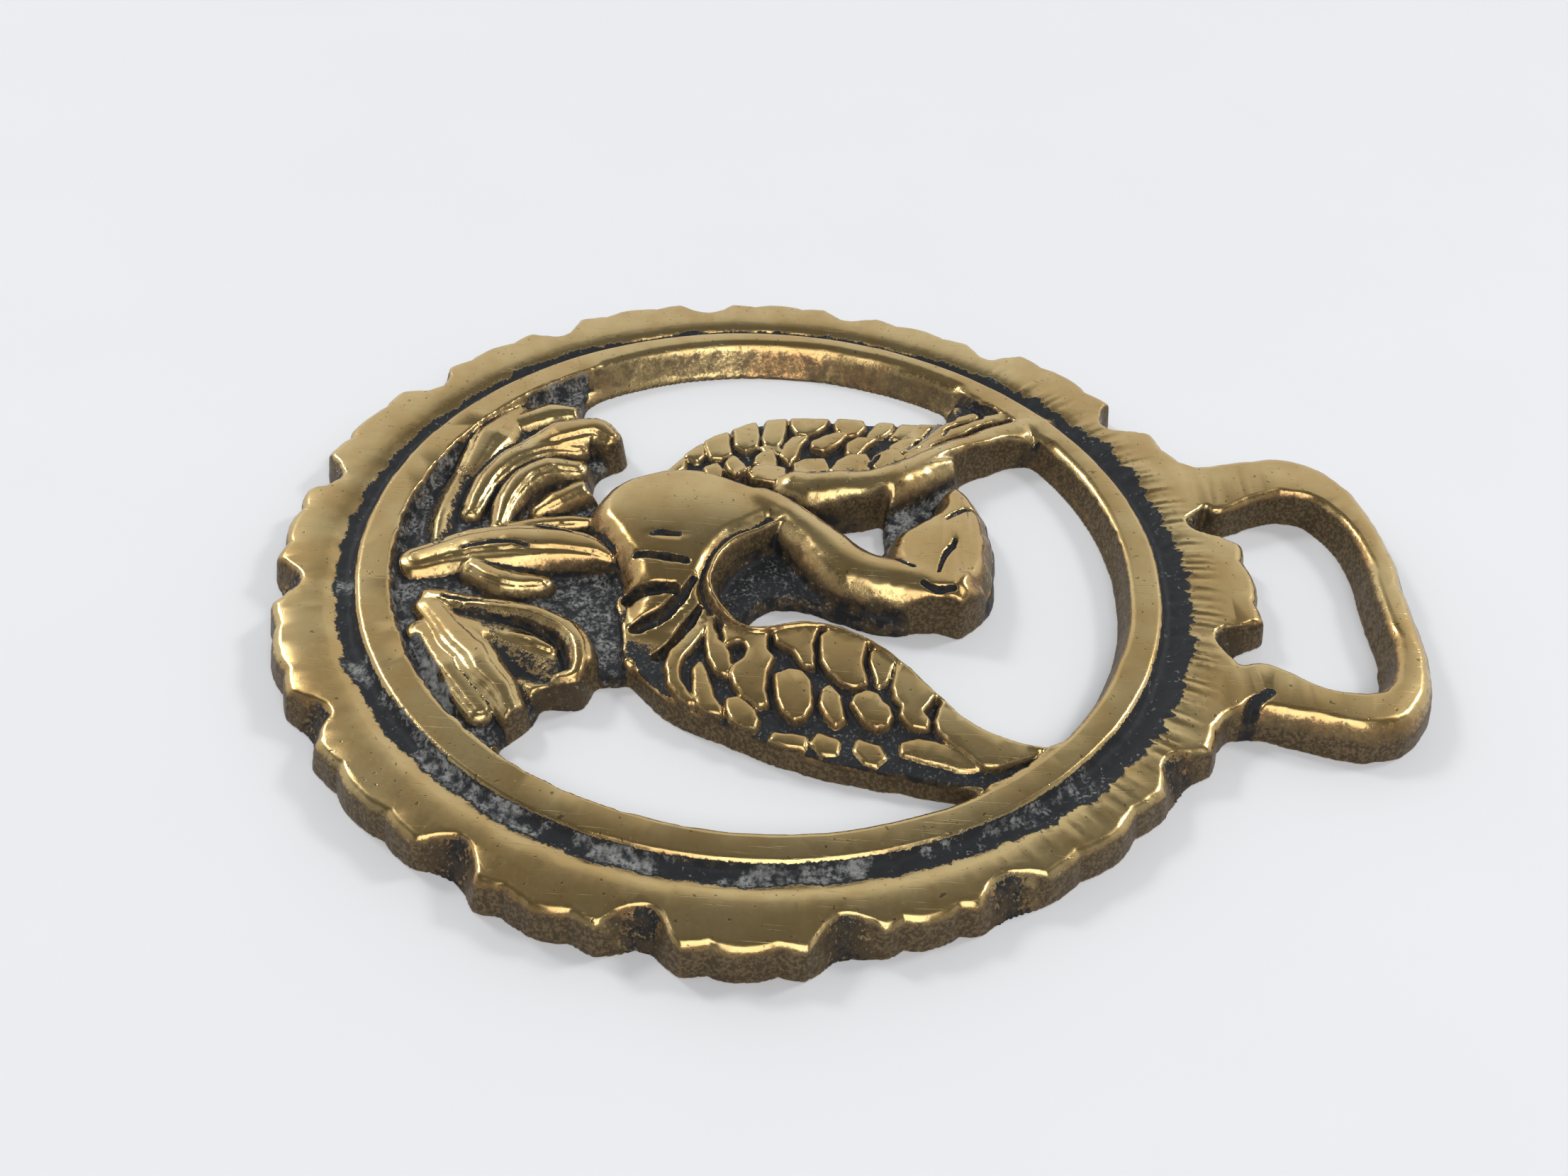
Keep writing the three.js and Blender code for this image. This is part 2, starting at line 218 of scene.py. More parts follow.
class Relief:
    """Maps of the casting in plan: heights, outline, draft and what covers the metal."""

    def __init__(self) -> None:
        """Starts with no metal anywhere."""
        xs = np.arange(PLAN_LOW[0], PLAN_HIGH[0] + PLAN_STEP / 2, PLAN_STEP)
        ys = np.arange(PLAN_LOW[1], PLAN_HIGH[1] + PLAN_STEP / 2, PLAN_STEP)
        self.x, self.y = np.meshgrid(xs, ys, indexing="ij")
        self.top = np.full(self.x.shape, WEB)
        self.outline = np.full(self.x.shape, 9.0)
        self.draft = np.full(self.x.shape, 0.1)
        self.chalk = np.zeros(self.x.shape)
        self.tarnish = np.zeros(self.x.shape)
        self.rough = np.zeros(self.x.shape)
        self.round_width = np.full(self.x.shape, EDGE_WIDTH)
        self.round_drop = np.full(self.x.shape, EDGE_DROP)
        grain, finer = Grain(3), Grain(4)
        broad, fine = 0.16, 0.05  # how far the hand-carved plan wanders
        x, y = self.x, self.y
        self.carved_x = x + broad * grain.at(x, y, 3.0, 2) + fine * finer.at(x, y, 0.8, 2)
        self.carved_y = y + broad * grain.at(y, x, 3.3, 2) + fine * finer.at(y, x, 0.7, 2)

    def window(self, curve: np.ndarray, margin: float) -> Window:
        """Returns the part of the maps round a curve."""
        slices = []
        for axis, low in enumerate(PLAN_LOW):
            first = int((curve[:, axis].min() - margin - low) / PLAN_STEP)
            last = int((curve[:, axis].max() + margin - low) / PLAN_STEP) + 2
            slices.append(slice(max(first, 0), min(last, self.x.shape[axis])))
        return slices[0], slices[1]

    def measure(
        self, curve: np.ndarray, margin: float, closed: bool
    ) -> tuple[Window, np.ndarray, np.ndarray, np.ndarray]:
        """Measures the maps' points, in the uneven plan of hand carving, against a curve.

        Args:
            curve: Points of the curve.
            margin: How far from the curve to measure.
            closed: Whether the curve is a closed outline.

        Returns:
            The window, the distance (negative inside an outline), the share along the curve of the
            nearest point, and the side: 1 on the left of an open curve, -1 on its right.
        """
        where = self.window(curve, margin)
        x, y = self.carved_x[where], self.carved_y[where]
        ends = np.roll(curve, -1, 0) if closed else curve[1:]
        starts = curve if closed else curve[:-1]
        best = np.full(x.shape, 1e9)
        share, side = np.zeros(x.shape), np.zeros(x.shape)
        odd = np.zeros(x.shape, bool)
        for k, ((ax, ay), (bx, by)) in enumerate(zip(starts, ends)):
            dx, dy = bx - ax, by - ay
            t = np.clip(((x - ax) * dx + (y - ay) * dy) / max(dx * dx + dy * dy, 1e-12), 0, 1)
            gap = (x - ax - t * dx) ** 2 + (y - ay - t * dy) ** 2
            nearer = gap < best
            best = np.where(nearer, gap, best)
            if closed:
                crosses = (ay > y) != (by > y)
                if dy:
                    odd ^= crosses & (x < (y - ay) / dy * dx + ax)
            else:
                share = np.where(nearer, (k + t) / len(ends), share)
                side = np.where(nearer, np.sign(dx * (y - ay) - dy * (x - ax)), side)
        distance = np.sqrt(best)
        return where, np.where(odd, -distance, distance), share, side

    def join(self, outline: Points, draft: float, blend: float) -> None:
        """Adds metal inside an outline, filleted where it meets what is there.

        Args:
            outline: Points of the closed outline at the back.
            draft: How far the wall leans in for each millimetre of height.
            blend: Size of the fillet.
        """
        curve = spline(outline, closed=True)
        where, distance, _, _ = self.measure(curve, 4.0, True)
        near = smooth_step(1.5, -0.5, distance)
        self.draft[where] = self.draft[where] * (1 - near) + draft * near
        fresh = near * smooth_step(-0.8, 0.4, self.outline[where])
        self.round_width[where] = self.round_width[where] * (1 - fresh) + EDGE_WIDTH * fresh
        self.round_drop[where] = self.round_drop[where] * (1 - fresh) + EDGE_DROP * fresh
        self.outline[where] = -smooth_max(-self.outline[where], -distance, blend)

    def round_edges(self) -> None:
        """Wears down the upper edges of the whole outline."""
        inward = -(self.outline + self.draft * self.top)
        share = 1 - np.clip(inward / self.round_width, -0.5, 1)
        self.top -= self.round_drop * share**CURL

    def raise_patch(self, patch: Patch, blend: float = 0.12) -> None:
        """Raises an area of the top to its own height.

        Args:
            patch: The area.
            blend: Size of the fillet round its foot.
        """
        curve = spline(patch.outline, 6 if patch.smooth else 1, closed=True)
        where, distance, _, _ = self.measure(curve, 1.5, True)
        if not patch.smooth:
            distance = distance - STRAIGHT_GROWTH
        x, y = self.x[where] - patch.centre[0], self.y[where] - patch.centre[1]
        top = patch.height - patch.crown[0] * x**2 - patch.crown[1] * y**2
        top = np.maximum(top + patch.tilt[0] * x + patch.tilt[1] * y, patch.floor + 0.1)
        inward = np.clip(-distance / patch.edge, 0, 1)
        rise = 1 - (1 - inward) ** CURL
        raised = patch.floor + (top - patch.floor) * rise - PATCH_FALL * np.maximum(distance, 0)
        self.top[where] = smooth_max(self.top[where], raised, blend)
        on = smooth_step(0.15, -0.15, distance)
        self.cover(where, on, patch)

    def cover(self, where: Window, on: np.ndarray, shape: Patch | Stroke) -> None:
        """Gives a raised area its own residue and patina, where `on` is 1."""
        for name in ("chalk", "tarnish"):
            values = getattr(self, name)
            values[where] = values[where] * (1 - on) + getattr(shape, name) * on

    def section(self, stroke: Stroke, margin: float) -> tuple[Window, np.ndarray, np.ndarray]:
        """Returns the window, the distance in half widths and the share along a stroke."""
        curve = spline(stroke.path)
        where, distance, share, side = self.measure(curve, margin, False)
        places = np.linspace(0, 1, len(stroke.width))
        half = np.interp(share, places, stroke.width) * (1 + stroke.lean * side)
        return where, distance / np.maximum(half, 0.05), share

    @staticmethod
    def profile(section: Section, across: np.ndarray) -> np.ndarray:
        """Returns the height, 1 to 0, at a distance across a stroke in half widths."""
        s = np.clip(across, 0, 1)
        if section is Section.ROUND:
            return np.sqrt(np.maximum(1 - s**CURL, 0)) ** 1.15
        if section is Section.SOFT:
            return (1 - s**2) ** 2
        if section is Section.LEAF:
            return (1 - s**2.8) ** 0.8 - 0.09 * np.exp(-(((s - 0.45) / 0.1) ** 2))
        return 1 - smooth_step(0.55, 1.0, s)

    def raise_ridge(self, stroke: Stroke, floor: float = WEB, blend: float = 0.2) -> None:
        """Raises a ridge to its own height above the back.

        Args:
            stroke: The ridge.
            floor: Height that its sides rise from.
            blend: Size of the fillet along its foot.
        """
        where, across, share = self.section(stroke, max(stroke.width) * (1 + abs(stroke.lean)) + 0.8)
        top = np.interp(share, np.linspace(0, 1, len(stroke.height)), stroke.height)
        raised = floor + (top - floor) * self.profile(stroke.section, across)
        raised = raised - RIDGE_FALL * np.maximum(across - 1, 0)
        self.top[where] = smooth_max(self.top[where], raised, blend)
        on = smooth_step(1.1, 0.8, across)
        self.cover(where, on, stroke)

    def lift(self, stroke: Stroke) -> None:
        """Adds a ridge to the surface, or cuts a groove in it where the heights are negative."""
        where, across, share = self.section(stroke, max(stroke.width) * (1 + abs(stroke.lean)) + 0.3)
        top = np.interp(share, np.linspace(0, 1, len(stroke.height)), stroke.height)
        amount = self.profile(stroke.section, across)
        self.top[where] = np.maximum(self.top[where] + top * amount, LOWEST_CUT)
        self.chalk[where] = np.maximum(self.chalk[where], stroke.chalk * smooth_step(1.3, 0.5, across))
        self.tarnish[where] = np.maximum(self.tarnish[where], stroke.tarnish * smooth_step(1.15, 0.8, across))


@dataclass(frozen=True)
class Ring:
    """The ring: a flat inner band, a dark groove, a filed crest and a scalloped rim."""

    bore: float = 29.7
    bore_centre: tuple[float, float] = (0.5, 0.8)
    foot: float = 40.4
    profile: Points = (
        (29.0, 3.0), (31.3, 3.0), (33.5, 3.03), (33.75, 2.8), (34.05, 2.4), (34.5, 2.2), (35.0, 2.28),
        (35.6, 2.54),
        (36.2, 2.76), (36.9, 2.86), (37.8, 2.9), (40.0, 2.9), (60.0, 2.9),
    )
    rim: Points = (
        (12, 40.1), (29.5, 40.0), (56, 40.8), (79, 42.5), (101, 42.0), (124.5, 41.8), (147.5, 40.0),
        (170.5, 40.4), (192.5, 40.8), (216, 40.7), (238, 41.2), (262, 40.8), (283, 40.8), (306, 40.7),
        (331.5, 41.0), (352.5, 41.3),
    )
    bumps: int = 3
    cusp: float = 0.45
    notch: float = 0.55
    notch_width: float = 2.9
    notch_draft: float = 0.62
    slope_draft: float = 0.18
    groove: tuple[float, float] = (33.7, 35.6)

    def scallops(
        self, x: np.ndarray, y: np.ndarray, angle: np.ndarray, wobble: Grain, rough: Grain
    ) -> tuple[np.ndarray, np.ndarray]:
        """Shapes the rim.

        Args:
            x: Plan positions in millimetres.
            y: Plan positions in millimetres.
            angle: Their angles round the ring in degrees.
            wobble: The larger unevenness.
            rough: The smaller unevenness.

        Returns:
            The radius of the rim, and how deep a notch bites into it, 0 to 1.
        """
        starts = np.array([start for start, _ in self.rim])
        reaches = np.array([reach for _, reach in self.rim])
        lobe = (np.searchsorted(starts, angle, side="right") - 1) % len(starts)
        width = (np.roll(starts, -1) - starts) % 360
        along = ((angle - starts[lobe]) % 360) / width[lobe]
        off = np.minimum(along, 1 - along) * np.radians(width[lobe]) * self.foot
        off = off + 0.25 * wobble.at(x, y, 1.6)
        bite = np.clip(1 - (off / self.notch_width) ** 2, 0, 1) ** 1.4
        waves = 1 - np.abs(np.cos(math.pi * self.bumps * (along - 0.5))) ** 0.8
        waves = waves * smooth_step(1.4, 2.8, off)
        reach = reaches[lobe] * (1 - bite) + self.foot * bite
        edge = reach - self.cusp * waves - self.notch * bite
        return edge + 0.1 * wobble.at(x, y, 2.4) + 0.04 * rough.at(x, y, 0.8), bite

    def work(self, relief: Relief) -> None:
        """Adds the ring to the relief.

        Args:
            relief: The maps to work on.
        """
        wobble, rough = Grain(11), Grain(12)
        x, y = relief.x, relief.y
        radius, turn = np.hypot(x, y), np.arctan2(y, x)
        edge, bite = self.scallops(x, y, np.degrees(turn) % 360, wobble, rough)
        bore = np.hypot(x - self.bore_centre[0], y - self.bore_centre[1])
        bore_edge = self.bore + 0.08 * wobble.at(y, x, 4.0)
        relief.outline[:] = np.maximum(radius - edge, bore_edge - bore)
        far = np.clip(-np.cos(turn), 0, 1)
        inner = 0.27 - 0.09 * np.sin(turn) + 0.36 * far**1.5
        outer = self.slope_draft + (self.notch_draft - self.slope_draft) * bite
        outside = smooth_step(34.0, 36.0, radius)
        relief.draft[:] = inner * (1 - outside) + outer * outside
        relief.round_width[:] = (0.55 + 0.9 * far) * (1 - outside) + (0.8 - 0.4 * bite) * outside
        relief.round_drop[:] = (0.3 + 0.5 * far) * (1 - outside) + (0.42 - 0.24 * bite) * outside
        heights = np.array(self.profile)
        shifted = radius + 0.1 * wobble.at(x + 9, y, 2.5) * smooth_step(33.0, 34.5, radius)
        shifted = shifted + 0.9 * far * smooth_step(34.1, 34.9, radius)
        relief.top[:] = blur(np.interp(shifted, heights[:, 0], heights[:, 1]), 0.12)
        fall = np.maximum(31.05 + 0.12 * rough.at(x, y, 1.1) - radius, 0) / np.maximum(inner, 0.2)
        relief.top[:] = np.maximum(relief.top - 0.95 * fall, WEB)
        self.tarnish(relief, shifted, edge, bite, wobble, rough)

    def tarnish(
        self,
        relief: Relief,
        shifted: np.ndarray,
        edge: np.ndarray,
        bite: np.ndarray,
        wobble: Grain,
        rough: Grain,
    ) -> None:
        """Darkens the groove and the notches, and files the slope beside the groove.

        Args:
            relief: The maps to work on.
            shifted: Radius in the uneven section of the ring.
            edge: Radius of the rim.
            bite: How deep a notch bites into the rim, 0 to 1.
            wobble: The larger unevenness.
            rough: The smaller unevenness.
        """
        x, y = relief.x, relief.y
        radius, turn = np.hypot(x, y), np.arctan2(y, x)
        far = np.clip(-np.cos(turn), 0, 1)
        upper = smooth_step(0.3, 0.95, np.sin(turn))
        streaks = Grain(13).at(np.degrees(turn) % 360 * 1.7, radius * 0.16, 1.0, 3)
        spread = 0.42 * streaks * (0.4 + 0.6 * upper)
        border = self.groove[1] - 0.2 - 0.8 * far + spread + 0.9 * upper + 0.3 * wobble.at(x, y + 7, 3.0)
        groove = smooth_step(self.groove[0] - 0.1, self.groove[0] + 0.1, shifted)
        groove = groove * smooth_step(border + 0.55, border - 0.45, radius)
        filed = smooth_step(34.6, 36.0, radius) * smooth_step(39.5, 37.0, radius)
        relief.top[:] += groove * 0.06 * rough.at(x, y, 0.9) + filed * 0.035 * streaks * (0.15 + upper)
        scoop = bite * smooth_step(-0.45, 0.25, relief.outline + relief.draft * relief.top)
        scoop = scoop * smooth_step(34.0, 36.0, radius) * smooth_step(1.5, 0.7, radius - edge)
        relief.tarnish[:] = np.maximum(groove, 0.6 * scoop)
        relief.rough[:] = np.maximum(groove, scoop)
        near = smooth_step(-0.2, 0.8, np.cos(turn + 0.4))
        patches = smooth_step(0.0, 0.7, wobble.at(x + 3, y, 3.0) + 0.5 * near)
        relief.chalk[:] = groove * patches * (0.2 + 0.4 * near)


def crease(
    path: Points, width: tuple[float, ...], depth: tuple[float, ...], tarnish: float, chalk: float = 0.0
) -> Stroke:
    """Returns a soft-edged cut of a depth along a path, with the patina and residue it holds."""
    return Stroke(path, width, tuple(-cut for cut in depth), Section.SOFT, 0.0, chalk, tarnish)


@dataclass(frozen=True)
class Hanger:
    """The loop on top of the ring that the strap passes through."""

    height: float = 3.35
    ring_height: float = 2.9
    outline: Points = (
        (17.4, 32.5), (16.8, 37.4), (16.5, 39.6), (17.2, 42.4), (18.0, 45.2), (18.2, 47.8), (17.2, 50.6),
        (14.4, 53.2), (10.4, 54.7), (5.0, 55.3), (0.0, 55.4),
    )
    slot: Points = (
        (5.4, 38.8), (8.4, 37.0), (9.2, 38.2), (9.2, 41.2), (10.9, 43.9), (11.9, 46.6), (11.4, 49.3),
        (8.6, 50.9), (5.0, 51.5), (0.0, 51.5),
    )
    lean: float = -0.4
    slot_shift: float = 0.5
    outer_round: tuple[float, float] = (1.5, 1.5)
    inner_round: tuple[float, float] = (0.9, 0.8)
    draft: float = 0.1
    grooves: tuple[Stroke, ...] = (
        crease(((13.5, 40.5), (15.2, 38.9), (17.0, 38.6)), (0.5, 0.8, 0.6), (0.25, 0.7, 0.5), 0.8),
    )

    @staticmethod
    def whole(points: Points, shift: float) -> Points:
        """Returns a closed outline from its right half, mirrored and set over sideways."""
        left = tuple((-x, y) for x, y in reversed(points) if x)
        return tuple((x + shift, y) for x, y in points + left)

    def work(self, relief: Relief) -> None:
        """Joins the hanger to the ring on the relief.

        Args:
            relief: The maps to work on.
        """
        outer = spline(self.whole(self.outline, self.lean), closed=True)
        slot = spline(self.whole(self.slot, self.slot_shift), closed=True)
        where, outside, _, _ = relief.measure(outer, 4.0, True)
        inner_where, inside, _, _ = relief.measure(slot, 6.0, True)
        hole = np.full(relief.x.shape, -9.0)
        hole[inner_where] = -inside
        hole = hole[where]
        solid = np.maximum(outside, hole)
        ring = relief.outline[where]
        loop = smooth_step(0.4, -0.6, solid) * smooth_step(-0.6, 0.6, ring)
        slot_side = smooth_step(0.8, -0.8, outside - hole)
        for name, value in (
            ("draft", self.draft),
            ("round_width", self.outer_round[0] + (self.inner_round[0] - self.outer_round[0]) * slot_side),
            ("round_drop", self.outer_round[1] + (self.inner_round[1] - self.outer_round[1]) * slot_side),
        ):
            values = getattr(relief, name)
            values[where] = values[where] * (1 - loop) + value * loop
        relief.outline[where] = -smooth_max(-ring, -solid, 0.5)
        rise = smooth_step(38.0, 46.0, relief.y[where]) * smooth_step(0.5, -0.5, solid)
        relief.top[where] += (self.height - self.ring_height) * rise
        for groove in self.grooves:
            relief.lift(groove)


@dataclass(frozen=True)
class Wing:
    """A spread wing: a pierced plate with feather pads and an arm or a rim along its front.

    Args:
        outline: Its outline at the back.
        base: Height of the dark ground between the feathers.
        pads: The polished feather pads.
        ridges: Arm, rims and long feathers.
        cuts: Grooves and creases.
    """

    outline: Points
    base: float
    pads: tuple[Patch, ...]
    ridges: tuple[Stroke, ...]
    cuts: tuple[Stroke, ...]

    def work(self, relief: Relief) -> None:
        """Adds the wing to the relief.

        Args:
            relief: The maps to work on.
        """
        relief.join(self.outline, draft=0.2, blend=0.8)
        relief.raise_patch(Patch(self.outline, self.base, 0.5, floor=1.0, tarnish=1.0, chalk=0.35))
        for ridge in self.ridges:
            relief.raise_ridge(ridge, floor=1.6)
        for pad in self.pads:
            relief.raise_patch(pad, blend=0.08)
        for cut in self.cuts:
            relief.lift(cut)


def pad(height: float, outline: Points, tilt: tuple[float, float] = (0.0, 0.0), chalk: float = 0.0) -> Patch:
    """Returns one feather pad, a little crowned about its middle."""
    middle = tuple(np.mean(np.array(outline), axis=0))
    return Patch(outline, height, 0.42, (0.006, 0.009), middle, tilt, 2.0, chalk, smooth=False)


LEFT_WING = Wing(
    outline=(
        (-25.0, 17.2), (-21.4, 16.6), (-20.7, 14.0), (-20.6, 11.0), (-20.5, 8.4), (-20.4, 5.6),
        (-20.1, 2.4),
        (-19.6, 0.2), (-18.8, -2.0), (-17.4, -4.3), (-15.4, -6.6), (-13.2, -8.4), (-10.6, -9.6),
        (-8.0, -10.4),
        (-5.0, -3.0), (-5.0, 3.5), (-5.6, 7.3), (-7.6, 11.0), (-12.8, 16.2), (-16.8, 22.0), (-18.8, 25.4),
        (-24.5, 22.4),
    ),
    base=2.0,
    ridges=(
        Stroke(
            ((-21.4, 25.0), (-19.6, 22.6), (-17.2, 19.4), (-14.9, 16.6), (-12.6, 14.0), (-10.6, 11.6),
            (-9.2, 9.4),
             (-8.4, 6.6), (-8.3, 4.2), (-8.8, 2.4)),
            (1.9, 2.1, 2.3, 2.5, 2.6, 2.3), (3.0, 3.6, 4.0, 4.3, 4.4, 3.9),
            Section.ROUND, 0.12, tarnish=0.25,
        ),
        Stroke(((-22.2, 22.4), (-20.6, 19.6), (-19.0, 17.6), (-17.0, 15.4), (-15.6, 13.8)),
               (0.9, 1.0, 1.0, 0.9, 0.7), (2.9, 3.1, 3.1, 3.1), Section.FLAT),
        Stroke(((-21.8, 18.8), (-20.2, 16.4), (-18.0, 14.9), (-16.2, 13.6), (-14.8, 12.2)),
               (0.8, 0.9, 0.9, 0.7), (2.7, 2.8, 2.9, 2.9), Section.FLAT),
        Stroke(((-21.0, 16.2), (-19.6, 14.2), (-18.0, 13.2), (-16.9, 12.2)), (0.8, 1.0, 0.8),
            (2.5, 2.5, 2.6), Section.FLAT),
    ),
    pads=(
        pad(3.3, ((-15.3, 14.6), (-14.5, 15.2), (-13.4, 13.6), (-12.8, 12.5), (-13.7, 12.1),
            (-14.7, 13.0))),
        pad(3.3, ((-14.6, 11.4), (-13.2, 12.0), (-11.9, 10.6), (-11.4, 9.6), (-12.2, 9.0), (-13.5, 9.4),
            (-14.4, 10.4))),
        pad(3.35, ((-13.4, 8.4), (-12.0, 9.0), (-10.8, 8.6), (-10.4, 7.2), (-9.8, 5.9), (-10.6, 5.3),
            (-12.2, 5.9),
                   (-13.2, 7.0))),
        pad(3.3, ((-12.3, 4.6), (-11.0, 5.0), (-9.6, 5.0), (-9.3, 3.6), (-10.2, 2.1), (-11.4, 2.1),
            (-12.1, 3.0))),
        pad(3.1, ((-11.0, 1.1), (-9.6, 1.2), (-8.6, 0.2), (-8.8, -1.4), (-9.9, -2.0), (-10.9, -1.4),
            (-11.3, 0.0)),
            (0.1, 0.0)),
        pad(2.7, ((-17.5, 12.9), (-16.4, 12.7), (-15.1, 11.7), (-14.8, 10.9), (-15.9, 10.9),
            (-17.1, 11.8))),
        pad(2.8, ((-16.9, 9.4), (-15.8, 8.6), (-14.6, 8.0), (-13.8, 7.3), (-14.4, 6.8), (-15.6, 7.0),
            (-16.8, 8.0))),
        pad(2.8, ((-17.2, 6.7), (-16.2, 6.3), (-15.4, 5.5), (-14.6, 4.5), (-14.8, 3.7), (-15.6, 3.7),
            (-16.6, 4.7),
                  (-17.3, 5.8))),
        pad(2.6, ((-16.4, 2.9), (-15.0, 2.3), (-13.4, 2.0), (-12.5, 1.6), (-13.4, 1.0), (-15.2, 1.2),
            (-16.3, 1.9))),
        pad(2.6, ((-14.6, 0.5), (-13.8, 0.6), (-13.5, -0.4), (-14.3, -1.0))),
        pad(2.85, ((-13.4, 0.1), (-12.3, 0.3), (-11.2, 0.3), (-10.9, -0.6), (-11.6, -1.5), (-12.6, -1.3),
            (-13.3, -0.8))),
        pad(2.4, ((-20.3, 13.6), (-19.0, 13.0), (-17.8, 11.9), (-17.9, 11.0), (-19.0, 11.5),
            (-20.2, 12.2))),
        pad(2.45, ((-20.4, 11.0), (-19.0, 10.6), (-17.8, 9.8), (-17.0, 8.7), (-18.2, 8.9), (-19.4, 9.5),
            (-20.4, 9.9))),
        pad(2.7, ((-20.3, 8.0), (-18.7, 8.2), (-17.5, 7.7), (-17.2, 6.9), (-17.9, 5.9), (-18.9, 5.6),
            (-20.1, 5.9))),
        pad(2.7, ((-20.0, 4.8), (-18.6, 4.5), (-17.5, 3.8), (-16.8, 2.9), (-17.0, 2.2), (-18.0, 1.7),
            (-19.3, 1.6),
                  (-20.0, 2.8))),
        pad(2.7, ((-19.2, 0.9), (-17.2, 0.9), (-15.8, 0.7), (-14.6, 0.3), (-14.8, -0.7), (-15.8, -1.0),
            (-17.3, -0.8),
                  (-18.9, -0.8))),
        pad(2.75, ((-17.9, -2.0), (-15.8, -1.6), (-14.3, -1.6), (-13.7, -2.4), (-14.3, -3.3),
            (-15.4, -3.6), (-16.6, -4.0),
                   (-17.5, -3.2))),
        pad(2.7, ((-16.0, -4.6), (-14.3, -4.1), (-13.0, -3.7), (-12.3, -4.5), (-12.4, -5.4), (-13.6, -6.0),
            (-14.9, -6.4),
                  (-15.8, -5.6))),
        pad(2.6, ((-14.2, -6.8), (-12.8, -6.3), (-11.9, -6.9), (-12.2, -7.7), (-12.9, -8.3),
            (-13.8, -7.7))),
        pad(2.5, ((-12.3, -8.1), (-10.6, -8.2), (-9.2, -8.9), (-8.8, -9.9), (-10.4, -9.7), (-11.9, -9.0))),
        pad(3.0, ((-12.2, -3.4), (-11.2, -2.6), (-10.2, -2.2), (-9.4, -2.8), (-10.2, -3.7), (-11.2, -4.0))),
        pad(2.5, ((-11.6, -4.9), (-10.4, -4.4), (-9.2, -4.6), (-9.4, -5.6), (-10.8, -6.0))),
    ),
    cuts=(
        crease(((-20.3, 16.1), (-18.6, 14.8), (-17.2, 13.9)), (0.25, 0.3, 0.2), (0.5,), 0.7, 0.8),
        crease(((-17.2, 13.6), (-15.3, 12.5)), (0.3, 0.2), (0.5,), 0.7, 0.9),
        crease(((-21.2, 19.6), (-20.0, 17.9), (-18.9, 16.6)), (0.3, 0.35, 0.2), (0.4,), 0.9, 0.4),
        crease(((-19.2, 16.6), (-17.4, 15.8)), (0.2,), (0.25,), 0.6, 0.5),
        crease(((-13.6, 9.6), (-11.6, 8.9)), (0.25,), (0.4,), 1.0, 0.3),
        Stroke(((-10.0, -2.0), (-9.2, -2.6), (-8.0, -2.9)), (0.3, 0.4, 0.3), (0.5,), Section.ROUND),
    ),
)
